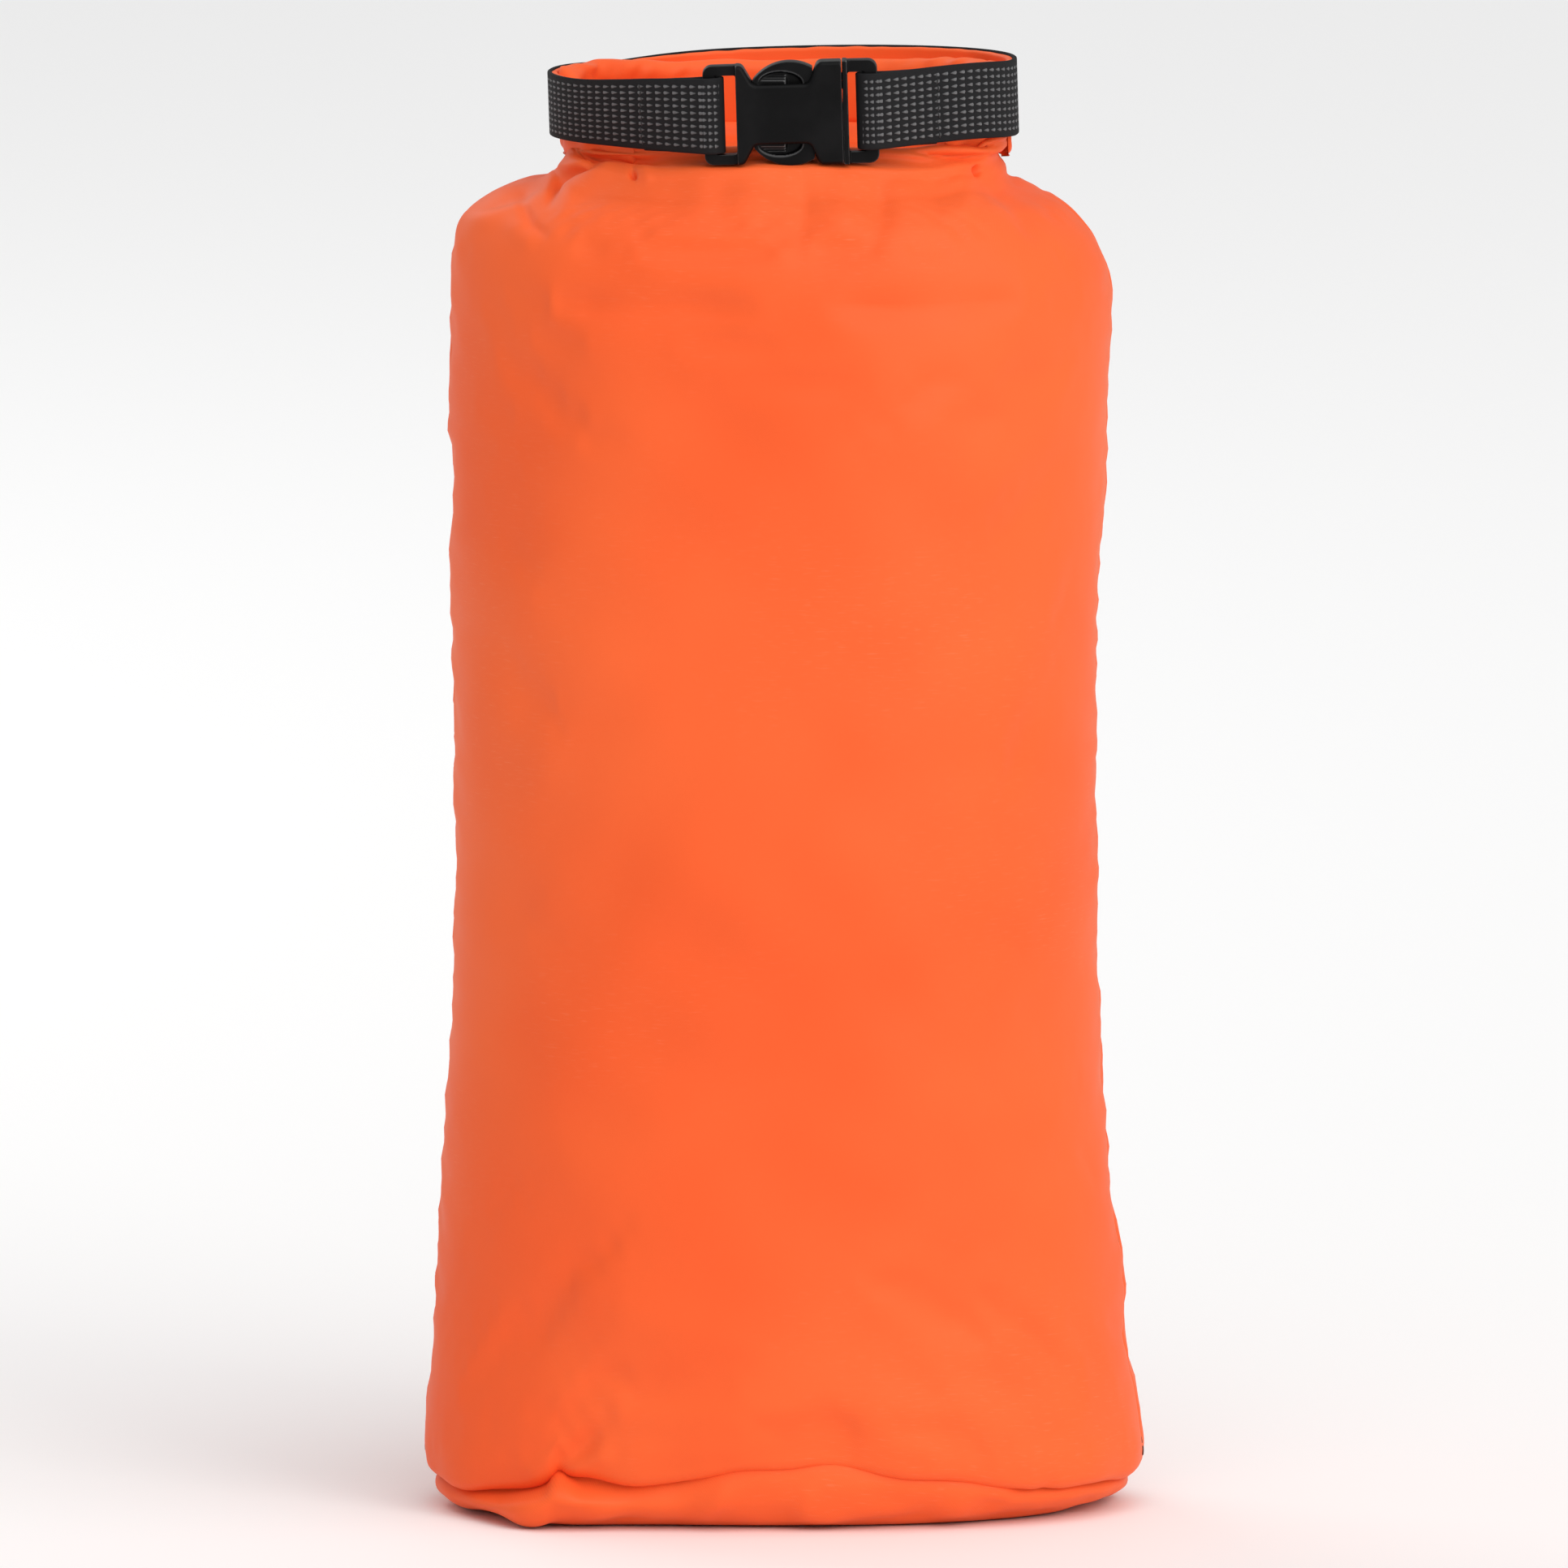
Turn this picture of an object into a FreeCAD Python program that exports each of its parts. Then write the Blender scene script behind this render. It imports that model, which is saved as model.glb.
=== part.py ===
"""Roll-top dry bag, closed and filled.

A coated fabric bag stands on its base panel. Its mouth is rolled down, stiffened by a webbing
strap and bent into a carry loop, and a side-release buckle clips the two strap ends together.

Millimetres. +Z is up, -Y is the front, +X is to the right as seen from the front.
The origin is on the floor, under the middle of the bag.
"""
import FreeCAD, Part
import math
import os
import re

import Sketcher
from FreeCAD import Vector

doc = FreeCAD.newDocument("dry_bag")
sheet = doc.addObject("Spreadsheet::Sheet", "dims")

# Level sections of the filled bag, each an ellipse: name, height, half width, half depth.
SECTIONS = (
    ("floor", 0, 72, 40),
    ("heel", 3, 84, 48),
    ("rim", 8, 91, 53.5),
    ("seam", 13, 94, 56),
    ("foot", 24, 95, 57.5),
    ("shin", 70, 91.5, 60),
    ("knee", 125, 87.5, 62),
    ("waist", 185, 84.7, 63),
    ("chest", 250, 85.5, 62.5),
    ("armpit", 312, 87, 61),
    ("shoulder", 329, 85, 58.5),
    ("slope", 339, 78, 54),
    ("nape", 347, 65, 46.5),
    ("throat", 354.8, 57.5, 36),
)

# Driving dimensions.
DIMENSIONS = {
    # fabric
    "wall": 0.6,
    "tape_wall": 0.3,
    "tape_gap": 0.4,
    "tape_half_width": 9,
    "base_tape_gap": 1.5,
    "base_tape_low": 5,
    "base_tape_high": 22,
    "thread_wall": 0.5,
    "thread_gap": 0.1,
    "thread_half_width": 0.6,
    "side_seam_low": 17,
    "side_seam_high": 338,
    # carry loop, an ellipse seen from above: webbing outside, then the hem, then the roll
    "loop_half_width": 62,
    "loop_half_depth": 38,
    "webbing_wall": 1.2,
    "webbing_width": 20,
    "webbing_low": 361,
    "hem_wall": 1.5,
    "roll_wall": 6,
    "roll_low": 357.5,
    "roll_high": 378,
    "layer_gap": 0.1,
    "left_seam_x": -37,
    "right_seam_x": 40.2,
    "right_split": 0.3,
    "hem_stitch_low": 379.6,
    "hem_stitch_high": 380.4,
    "loop_tilt": 1.7,  # degrees; the right side of the loop is the higher one
    # buckle, in its own frame: X along the strap, Y through its thickness, Z across the strap
    "buckle_x": 2,
    "buckle_y": -36,
    "buckle_z": 371,
    "slot_half_height": 10.3,
    "frame_half_thickness": 2.1,
    "frame_half_height": 13,
    "frame_corner": 2.4,
    "bar_left": -22.7,
    "bar_right": -19.5,
    "slot_right": -14.2,
    "body_half_thickness": 4.2,
    "neck_left": -12.4,
    "window_left": -9.6,
    "window_right": 4.8,
    "window_half_height": 7.9,
    "collar_left": 7.2,
    "collar_half_height": 13.5,
    "mouth_x": 13.4,
    "cavity_left": -10.2,
    "cavity_half_height": 11.2,
    "cavity_half_thickness": 2.7,
    "body_edge_radius": 1.2,
    "waist_corner": 1.7,
    # plug
    "plug_left": 13.55,
    "plug_plate": 1.4,
    "plug_plate_half_thickness": 3.6,
    "plug_bar_left": 19.2,
    "plug_right": 22.7,
    "plug_half_height": 13.6,
    "plug_half_thickness": 1.9,
    "plug_corner": 2.4,
    "guide_left": -5,
    "guide_half_height": 1.7,
    "guide_half_thickness": 1.7,
    "lug_half_height": 1.7,
    "seat_clearance": 0.06,
    # prongs
    "prong_half_thickness": 2.3,
    "prong_edge_radius": 0.6,
    "hinge_x": 12.2,
    "hinge_z": 8,
    "root_radius": 1.3,
    "barb_x": 5.9,
    "barb_top": 12,
    "barb_arc": 12,
    "tip_x": -9.8,
    "tip_top": 8.8,
    "tip_low": 5.9,
    "relief_left": -8.2,
    "relief_right": 3.4,
    "relief_arc": 8.6,
    # strap ends, folded round the bars of the buckle
    "fold_radius": 2.75,
    "fold_step": 0.05,  # the flat layers are thinner than the fold by this, on each face
    "lap": 1,
    "bartack_width": 1.2,
    "bartack_wall": 0.35,
    "bartack_height": 17,
}

# Dimensions that follow from the ones above, for the strap end at each side of the buckle.
DERIVED = {
    "left_bar_x": "buckle_x + (bar_left + bar_right) / 2",
    "right_bar_x": "buckle_x + (plug_bar_left + plug_right) / 2",
}
for side in ("left", "right"):
    along_ellipse = f"({side}_seam_x / (loop_half_width - webbing_wall / 2)) ^ 2"
    DERIVED.update(
        {
            f"{side}_seam_y": f"(webbing_wall / 2 - loop_half_depth) * sqrt(1 - {along_ellipse})",
            f"{side}_run": f"abs({side}_seam_x - {side}_bar_x)",
            f"{side}_rise": f"{side}_seam_y - buckle_y",
            f"{side}_turn": f"atan({side}_rise / {side}_run)",
            f"{side}_reach": f"sqrt({side}_run ^ 2 + {side}_rise ^ 2)",
            f"{side}_spread": f"asin(fold_radius / {side}_reach)",
            f"{side}_tangent": f"sqrt({side}_reach ^ 2 - fold_radius ^ 2)",
        }
    )

CELLS = {alias: str(number) for alias, number in DIMENSIONS.items()}
for level, height, half_width, half_depth in SECTIONS:
    CELLS[level + "_z"] = str(height)
    CELLS[level + "_half_width"] = str(half_width)
    CELLS[level + "_half_depth"] = str(half_depth)
CELLS.update({alias: "=" + formula for alias, formula in DERIVED.items()})
for row, (alias, content) in enumerate(CELLS.items(), start=1):
    sheet.set(f"A{row}", alias)
    sheet.set(f"B{row}", content)
    sheet.setAlias(f"B{row}", alias)
doc.recompute()

BIG = 400  # reaches past the whole bag, for boxes that only trim
PARTS = []


def cell(text):
    """An expression in which the sheet's names point at its cells."""
    return re.sub(r"[a-z_]+", lambda m: "dims." + m[0] if m[0] in CELLS else m[0], str(text))


def value(text):
    """The number that an expression gives."""
    return float(sheet.evalExpression(cell(text)))


def bind(thing, **expressions):
    """Binds properties to the sheet; Placement_Base_x stands for Placement.Base.x."""
    for name, text in expressions.items():
        thing.setExpression(name.replace("_", "."), cell(text))
    return thing


def finish(thing, label):
    """Names a finished sub-part, which is written to parts/LABEL.step."""
    thing.Label = label
    PARTS.append(thing)


def finish_tilted(thing, label, x="0", y="0", z="0"):
    """A finished sub-part of the tilted loop, its own frame at x, y and z of the level loop.

    The loop turns about the level line through the buckle's height, from front to back.
    """
    rise = f"({z} - buckle_z)"
    bind(thing, Placement_Rotation_Axis_y="-1", Placement_Rotation_Axis_z="0")
    bind(thing, Placement_Rotation_Angle="loop_tilt")
    bind(thing, Placement_Base_x=f"{x} * cos(loop_tilt) - {rise} * sin(loop_tilt)")
    bind(thing, Placement_Base_y=y)
    bind(thing, Placement_Base_z=f"buckle_z + {x} * sin(loop_tilt) + {rise} * cos(loop_tilt)")
    finish(thing, label)


# ---------------------------------------------------------------- solids and booleans


def block(name, x0, x1, y0, y1, z0, z1):
    """A box between two corners, each given as expressions."""
    box = doc.addObject("Part::Box", name)
    bind(box, Placement_Base_x=x0, Placement_Base_y=y0, Placement_Base_z=z0)
    return bind(box, Length=f"{x1} - ({x0})", Width=f"{y1} - ({y0})", Height=f"{z1} - ({z0})")


def cut(name, base, tool):
    """What is left of base without tool."""
    result = doc.addObject("Part::Cut", name)
    result.Base = base
    result.Tool = tool
    return result


def common(name, base, tool):
    """What base and tool share."""
    result = doc.addObject("Part::Common", name)
    result.Base = base
    result.Tool = tool
    return result


def fuse(name, shapes):
    """One solid made of shapes that overlap."""
    result = doc.addObject("Part::MultiFuse", name)
    result.Shapes = shapes
    return result


def ellipse(name, half_width, half_depth, height):
    """A level ellipse about the bag's axis."""
    curve = doc.addObject("Part::Ellipse", name)
    return bind(curve, MajorRadius=half_width, MinorRadius=half_depth, Placement_Base_z=height)


def ring(name, inset, wall, z0, z1):
    """An upright elliptic ring whose outside is the carry loop's plan drawn in by inset."""
    tubes = []
    for layer, drawn_in in (("outside", inset), ("inside", f"{inset} + {wall}")):
        plan = ellipse(
            f"{name}_{layer}_plan",
            f"loop_half_width - ({drawn_in})",
            f"loop_half_depth - ({drawn_in})",
            z0,
        )
        tube = doc.addObject("Part::Extrusion", f"{name}_{layer}")
        tube.Base = plan
        tube.DirMode = "Custom"
        tube.Dir = Vector(0, 0, 1)
        tube.Solid = True
        tubes.append(bind(tube, LengthFwd=f"{z1} - ({z0})"))
    return cut(name, *tubes)


# ---------------------------------------------------------------- fabric of the bag


def hull(name, levels, inset, floor, roof):
    """A solid lofted through the bag's sections, drawn in by inset, from floor to roof."""
    stations = []
    for level in levels:
        height = level + "_z"
        if level == levels[0]:
            height = floor
        if level == levels[-1]:
            height = roof
        half_width = f"{level}_half_width - ({inset})"
        half_depth = f"{level}_half_depth - ({inset})"
        stations.append(ellipse(f"{name}_{level}", half_width, half_depth, height))
    loft = doc.addObject("Part::Loft", name)
    loft.Sections = stations
    loft.Solid = True
    return loft


def skin(name, levels, inset, wall, floor_wall="0", roof_wall="0"):
    """A skin of that wall, whose outside is the bag drawn in by inset, with any floor and roof."""
    floor = levels[0] + "_z"
    roof = levels[-1] + "_z"
    outside = hull(name + "_outside", levels, inset, floor, roof)
    inner_floor = f"{floor} + {floor_wall}"
    inner_roof = f"{roof} - {roof_wall}"
    inside = hull(name + "_inside", levels, f"{inset} + {wall}", inner_floor, inner_roof)
    return cut(name, outside, inside)


LEVELS = [section[0] for section in SECTIONS]
SEAM = LEVELS.index("seam")
SLOPE = LEVELS.index("slope")
BASE_LEVELS = LEVELS[: SEAM + 1]
BODY_LEVELS = LEVELS[SEAM : SLOPE + 1]
NECK_LEVELS = LEVELS[SLOPE:]
LOWER_LEVELS = LEVELS[LEVELS.index("heel") : LEVELS.index("waist")]


def make_fabric():
    """The front and back panels, the base panel with its rim, and the gathered neck."""
    tube = skin("body_tube", BODY_LEVELS, "0", "wall")
    front_half = block("front_half", -BIG, BIG, -BIG, 0, 0, BIG)
    back_half = block("back_half", -BIG, BIG, 0, BIG, 0, BIG)
    finish(common("front", tube, front_half), "front_panel")
    finish(common("back", tube, back_half), "back_panel")
    finish(skin("base", BASE_LEVELS, "0", "wall", floor_wall="wall"), "base_panel")
    finish(skin("neck", NECK_LEVELS, "0", "wall", roof_wall="wall"), "gathered_neck")


def make_seams():
    """Sealing tapes inside the seams, and the thread outside them."""
    lining = skin("seam_lining", BODY_LEVELS, "wall + tape_gap", "tape_wall")
    thread = skin("seam_thread", BODY_LEVELS, "-1 * thread_gap - thread_wall", "thread_wall")
    for side, x0, x1 in (("left", -BIG, 0), ("right", 0, BIG)):
        for layer, half_width, low, label in (
            (lining, "tape_half_width", "base_tape_high + tape_gap", "seam_tape"),
            (thread, "thread_half_width", "side_seam_low", "seam_stitching"),
        ):
            name = f"{side}_{label}_strip"
            strip = block(name, x0, x1, f"-{half_width}", half_width, low, "side_seam_high")
            finish(common(f"{side}_{label}", layer, strip), f"{side}_{label}")
    base_lining = skin("base_lining", LOWER_LEVELS, "wall + base_tape_gap", "tape_wall")
    tape_band = block("tape_band", -BIG, BIG, -BIG, BIG, "base_tape_low", "base_tape_high")
    finish(common("base_tape", base_lining, tape_band), "base_seam_tape")
    thread_low = "side_seam_low - 3 * thread_half_width"
    thread_high = "side_seam_low - thread_half_width"
    thread_band = block("thread_band", -BIG, BIG, -BIG, BIG, thread_low, thread_high)
    finish(common("base_thread", thread, thread_band), "base_seam_stitching")


# ---------------------------------------------------------------- carry loop


def split_loop(name, layer, shorter):
    """The left and back run of a layer of the loop, and its front right end.

    Both stop short of the strap seams by that much.
    """
    mouth = block(name + "_mouth", f"left_seam_x - {shorter}", BIG, -BIG, 0, 0, BIG)
    run = cut(name + "_run", layer, mouth)
    right_end_x = f"right_seam_x + {shorter}"
    quarter = block(name + "_quarter", right_end_x, BIG, -BIG, "-right_split", 0, BIG)
    return run, common(name + "_end", layer, quarter)


def strap_strip(name, side, lean, along, length, out, wall, z0, z1):
    """A flat strip that runs from the bar at one side of the buckle towards its strap seam.

    It leans forward from the straight line between the two by that angle. It starts along from
    the bar's middle, and its rear face is out in front of the bar's middle.
    """
    sign = 1 if side == "right" else -1
    angle = f"({side}_turn + {lean})"
    start = f"({along} + {length})" if side == "left" else f"({along})"
    front = f"({out} + {wall})"
    x = f"{side}_bar_x + {sign} * ({start} * cos{angle} + {front} * sin{angle})"
    y = f"buckle_y + {start} * sin{angle} - {front} * cos{angle}"
    strip = doc.addObject("Part::Box", name)
    bind(strip, Length=length, Width=wall, Height=f"{z1} - ({z0})")
    bind(strip, Placement_Base_x=x, Placement_Base_y=y, Placement_Base_z=z0)
    return bind(strip, Placement_Rotation_Angle=f"{sign} * {angle}")


def fold(side):
    """The half of a strap end that goes round the buckle's bar."""
    walls = []
    for layer, radius in (("outside", "fold_radius + webbing_wall"), ("inside", "fold_radius")):
        cylinder = doc.addObject("Part::Cylinder", f"{side}_fold_{layer}")
        bind(cylinder, Radius=radius, Height="webbing_width", Placement_Base_x=f"{side}_bar_x")
        walls.append(bind(cylinder, Placement_Base_y="buckle_y", Placement_Base_z="webbing_low"))
    trim = strap_strip(f"{side}_fold_trim", side, "0 deg", 0, BIG, -BIG / 2, BIG, 0, BIG)
    return cut(f"{side}_fold", cut(f"{side}_fold_ring", *walls), trim)


def make_loop():
    """The rolled mouth, its hem and the strap sewn to it, with the strap ends and their thread."""
    strap_top = "webbing_low + webbing_width"
    webbing = ring("webbing", "0", "webbing_wall", "webbing_low", strap_top)
    hem = ring("hem", "webbing_wall + layer_gap", "hem_wall", "roll_low", strap_top)
    roll_inset = "webbing_wall + hem_wall + 2 * layer_gap"
    roll = ring("roll", roll_inset, "roll_wall", "roll_low", "roll_high")
    stitch_inset = "webbing_wall + hem_wall + 2 * layer_gap"
    stitch = ring("stitch", stitch_inset, "thread_wall", "hem_stitch_low", "hem_stitch_high")

    for name, layer, label, end_label in (
        ("hem", hem, "mouth_hem", "right_hem_end"),
        ("roll", roll, "rolled_collar", "right_collar_end"),
    ):
        run, end = split_loop(name, layer, "lap")
        finish_tilted(run, label)
        finish_tilted(end, end_label)
    finish_tilted(split_loop("stitch", stitch, "lap")[0], "hem_stitching")

    run, end = split_loop("webbing", webbing, "0")
    for side, start, label in (("left", run, "webbing_strap"), ("right", end, "right_strap_end")):
        pieces = [start, fold(side)]
        wall = "webbing_wall - 2 * fold_step"
        for layer, lean, beyond_seam, out in (
            ("front", f"{side}_spread", "lap", "fold_radius + fold_step"),
            ("back", f"-{side}_spread", "lap / 2", "fold_step - fold_radius - webbing_wall"),
        ):
            name = f"{side}_{layer}_layer"
            length = f"{side}_tangent + lap + {beyond_seam}"
            strip = strap_strip(
                name, side, lean, "-lap", length, out, wall, "webbing_low", strap_top
            )
            pieces.append(strip)
        finish_tilted(fuse(f"{side}_strap", pieces), label)
        tack = strap_strip(
            f"{side}_tack",
            side,
            f"{side}_spread",
            f"{side}_tangent - bartack_width",
            "bartack_width",
            "fold_radius + webbing_wall + layer_gap / 2",
            "bartack_wall",
            "webbing_low",
            strap_top,
        )
        margin = "(webbing_width - bartack_height) / 2"
        tack_low = f"webbing_low + {margin}"
        band = block(f"{side}_tack_band", -BIG, BIG, -BIG, BIG, tack_low, f"{strap_top} - {margin}")
        finish_tilted(common(f"{side}_thread", tack, band), f"{side}_bartack")


# ---------------------------------------------------------------- buckle


def new_body(label):
    """A body in the buckle's frame."""
    body = doc.addObject("PartDesign::Body", label)
    finish_tilted(body, label, "buckle_x", "buckle_y", "buckle_z")
    return body


def new_sketch(body, name):
    """An empty sketch on the body's front plane, whose own axes are the buckle's X and Z."""
    sketch = body.newObject("Sketcher::SketchObject", name)
    planes = body.Origin.OriginFeatures
    sketch.AttachmentSupport = [(next(p for p in planes if p.Role == "XZ_Plane"), "")]
    sketch.MapMode = "FlatFace"
    return sketch


def constrain(sketch, kind, where, text):
    """Drives a dimension of a sketch by an expression."""
    number = sketch.addConstraint(Sketcher.Constraint(kind, *where, value(text)))
    sketch.setExpression(f"Constraints[{number}]", cell(text))


def bulge(start, end, radius):
    """The short arc from start to end, bulging to the right of that direction."""
    chord = end - start
    across = Vector(-chord.y, chord.x, 0).normalize()
    centre = (start + end) / 2 + across * math.sqrt(radius**2 - (chord.Length / 2) ** 2)
    circle = Part.Circle(centre, Vector(0, 0, 1), radius)
    angles = [math.atan2(spot.y - centre.y, spot.x - centre.x) for spot in (start, end)]
    return Part.ArcOfCircle(circle, *angles)


def outline(body, name, points, arcs=()):
    """A closed sketch through points, anticlockwise.

    arcs maps the number of a side to its radius; such a side bulges to the right of its way.
    """
    arcs = dict(arcs)
    sketch = new_sketch(body, name)
    spots = [Vector(value(x), value(z), 0) for x, z in points]
    following = spots[1:] + spots[:1]
    for side, (start, end) in enumerate(zip(spots, following)):
        if side in arcs:
            sketch.addGeometry(bulge(start, end, value(arcs[side])), False)
        else:
            sketch.addGeometry(Part.LineSegment(start, end), False)
    for side in range(len(points)):
        after = (side + 1) % len(points)
        sketch.addConstraint(Sketcher.Constraint("Coincident", side, 2, after, 1))
    for side, (x, z) in enumerate(points):
        constrain(sketch, "DistanceX", (side, 1), x)
        constrain(sketch, "DistanceY", (side, 1), z)
    for side, radius in arcs.items():
        constrain(sketch, "Radius", (side,), radius)
    return sketch


def rectangle(body, name, x0, x1, z0, z1):
    """A closed rectangular sketch."""
    return outline(body, name, [(x0, z0), (x1, z0), (x1, z1), (x0, z1)])


def circle(body, name, x, z, radius):
    """A sketched circle."""
    sketch = new_sketch(body, name)
    centre = Vector(value(x), value(z), 0)
    sketch.addGeometry(Part.Circle(centre, Vector(0, 0, 1), value(radius)), False)
    constrain(sketch, "DistanceX", (0, 3), x)
    constrain(sketch, "DistanceY", (0, 3), z)
    constrain(sketch, "Radius", (0,), radius)
    return sketch


def pad(body, sketch, half_thickness):
    """Adds material to both sides of a sketch."""
    feature = body.newObject("PartDesign::Pad", sketch.Name + "_pad")
    feature.Profile = sketch
    feature.Midplane = True
    bind(feature, Length=f"2 * {half_thickness}")
    doc.recompute()


def pocket(body, sketch, half_thickness):
    """Takes material from both sides of a sketch."""
    before = body.Shape.Volume
    feature = body.newObject("PartDesign::Pocket", sketch.Name + "_pocket")
    feature.Profile = sketch
    feature.Midplane = True
    bind(feature, Length=f"2 * {half_thickness}")
    doc.recompute()
    if body.Shape.Volume > before - 0.01:
        raise RuntimeError(feature.Name + " cuts nothing")


def round_off(body, name, radius, wanted):
    """Fillets the edges that wanted picks by their middle point, in the body's own frame."""
    tip = body.Tip
    names = []
    for number, edge in enumerate(tip.Shape.Edges, start=1):
        middle = edge.valueAt((edge.FirstParameter + edge.LastParameter) / 2)
        if wanted(edge, middle):
            names.append(f"Edge{number}")
    if not names:
        raise RuntimeError(name + " finds no edges")
    feature = body.newObject("PartDesign::Fillet", name)
    feature.Base = (tip, names)
    bind(feature, Radius=radius)
    doc.recompute()


def runs_through(edge):
    """Whether an edge runs straight through the buckle's thickness."""
    return isinstance(edge.Curve, Part.Line) and abs(edge.Curve.Direction.y) > 0.99


def mirrored(points):
    """Points and their mirror images below the X axis, anticlockwise from the lowest left."""
    return [(x, f"-{z}") for x, z in points] + points[::-1]


def make_housing():
    """The socket of the buckle: a strap frame and a hollow body with a window at each side."""
    body = new_body("buckle_housing")
    frame = rectangle(
        body, "frame", "bar_left", "window_left", "-frame_half_height", "frame_half_height"
    )
    pad(body, frame, "frame_half_thickness")
    shell = mirrored(
        [
            ("slot_right", "frame_half_height"),
            ("neck_left", "frame_half_height"),
            ("window_left", "window_half_height"),
            ("window_right", "window_half_height"),
            ("collar_left", "collar_half_height"),
            ("mouth_x", "collar_half_height"),
        ]
    )
    pad(body, outline(body, "shell", shell), "body_half_thickness")
    for name, sign in (("upper", ""), ("lower", "-")):
        corner = [
            ("neck_left", f"{sign}frame_half_height"),
            ("window_left", f"{sign}window_half_height"),
            ("window_left", f"{sign}frame_half_height"),
        ]
        if sign:
            corner.reverse()
        pocket(body, outline(body, f"{name}_nook", corner), "body_half_thickness")
    slot = rectangle(
        body, "slot", "bar_right", "slot_right", "-slot_half_height", "slot_half_height"
    )
    pocket(body, slot, "body_half_thickness")

    def is_frame_corner(edge, middle):
        at_end = abs(middle.x - value("bar_left")) < 0.01
        return runs_through(edge) and at_end

    def is_waist_corner(edge, middle):
        beside_window = value("neck_left") - 0.01 < middle.x < value("collar_left") + 0.01
        return runs_through(edge) and beside_window

    def is_face_rim(edge, middle):
        on_face = abs(abs(middle.y) - value("body_half_thickness")) < 0.01
        beside_window = value("neck_left") < middle.x < value("mouth_x") - 0.01
        return on_face and beside_window

    round_off(body, "frame_corners", "frame_corner", is_frame_corner)
    round_off(body, "waist_corners", "waist_corner", is_waist_corner)
    round_off(body, "face_rims", "body_edge_radius", is_face_rim)
    cavity = rectangle(
        body, "cavity", "cavity_left", "mouth_x + 1", "-cavity_half_height", "cavity_half_height"
    )
    pocket(body, cavity, "cavity_half_thickness")


def make_plug():
    """The plug of the buckle: a strap frame, an end plate, a centre guide and two prong seats."""
    body = new_body("plug_frame")
    side = "plug_half_height"
    frame = rectangle(body, "plug_outline", "plug_left", "plug_right", f"-{side}", side)
    pad(body, frame, "plug_half_thickness")
    slot = rectangle(
        body,
        "plug_slot",
        "plug_left + plug_plate",
        "plug_bar_left",
        "-slot_half_height",
        "slot_half_height",
    )
    pocket(body, slot, "plug_half_thickness")

    def is_frame_corner(edge, middle):
        at_end = abs(middle.x - value("plug_right")) < 0.01
        return runs_through(edge) and at_end

    round_off(body, "plug_corners", "plug_corner", is_frame_corner)
    plate_right = "plug_left + plug_plate"
    plate_middle = "plug_left + plug_plate / 2"
    plate = rectangle(body, "plate", "plug_left", plate_right, f"-{side}", side)
    pad(body, plate, "plug_plate_half_thickness")
    guide = rectangle(
        body, "guide", "guide_left", plate_middle, "-guide_half_height", "guide_half_height"
    )
    pad(body, guide, "guide_half_thickness")
    for name, middle in (("upper", "hinge_z"), ("lower", "-hinge_z")):
        low = f"{middle} - lug_half_height"
        high = f"{middle} + lug_half_height"
        lug = rectangle(body, name + "_lug", "hinge_x", plate_middle, low, high)
        pad(body, lug, "prong_half_thickness")
        seat = circle(body, name + "_seat", "hinge_x", middle, "root_radius + seat_clearance")
        pocket(body, seat, "prong_half_thickness")


def make_prong(label, sign):
    """A side prong: a round root, an arm, the barb that catches and a bowed finger pad."""
    body = new_body(label)
    points = [
        ("hinge_x", "hinge_z - root_radius"),
        ("hinge_x", "hinge_z + root_radius"),
        ("barb_x", "hinge_z + root_radius"),
        ("barb_x", "barb_top"),
        ("tip_x", "tip_top"),
        ("tip_x", "tip_low"),
        ("relief_left", "tip_low"),
        ("relief_right", "hinge_z - root_radius"),
    ]
    if sign == "-":
        points = [(x, f"-({z})") for x, z in reversed(points)]
    bowed_side = {3: "barb_arc"}
    pad(body, outline(body, label + "_outline", points, bowed_side), "prong_half_thickness")
    root = circle(body, label + "_root", "hinge_x", f"{sign}hinge_z", "root_radius")
    pad(body, root, "prong_half_thickness")


make_fabric()
make_seams()
make_loop()
make_housing()
make_plug()
make_prong("upper_prong", "")
make_prong("lower_prong", "-")

doc.recompute()
for thing in doc.Objects:
    if "Invalid" in thing.State or "Error" in thing.State:
        raise RuntimeError(f"{thing.Name} is {thing.State}")
os.makedirs("parts", exist_ok=True)
for thing in PARTS:
    if thing.Shape.isNull() or not thing.Shape.isValid():
        raise RuntimeError(thing.Label + " has no valid shape")
    thing.Shape.exportStep(f"parts/{thing.Label}.step")
    print(thing.Label, len(thing.Shape.Solids), "solids", round(thing.Shape.Volume), "mm3")
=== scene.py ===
"""Looks of the filled roll-top dry bag. Shapes are worked out in millimetres and built in metres."""

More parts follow.
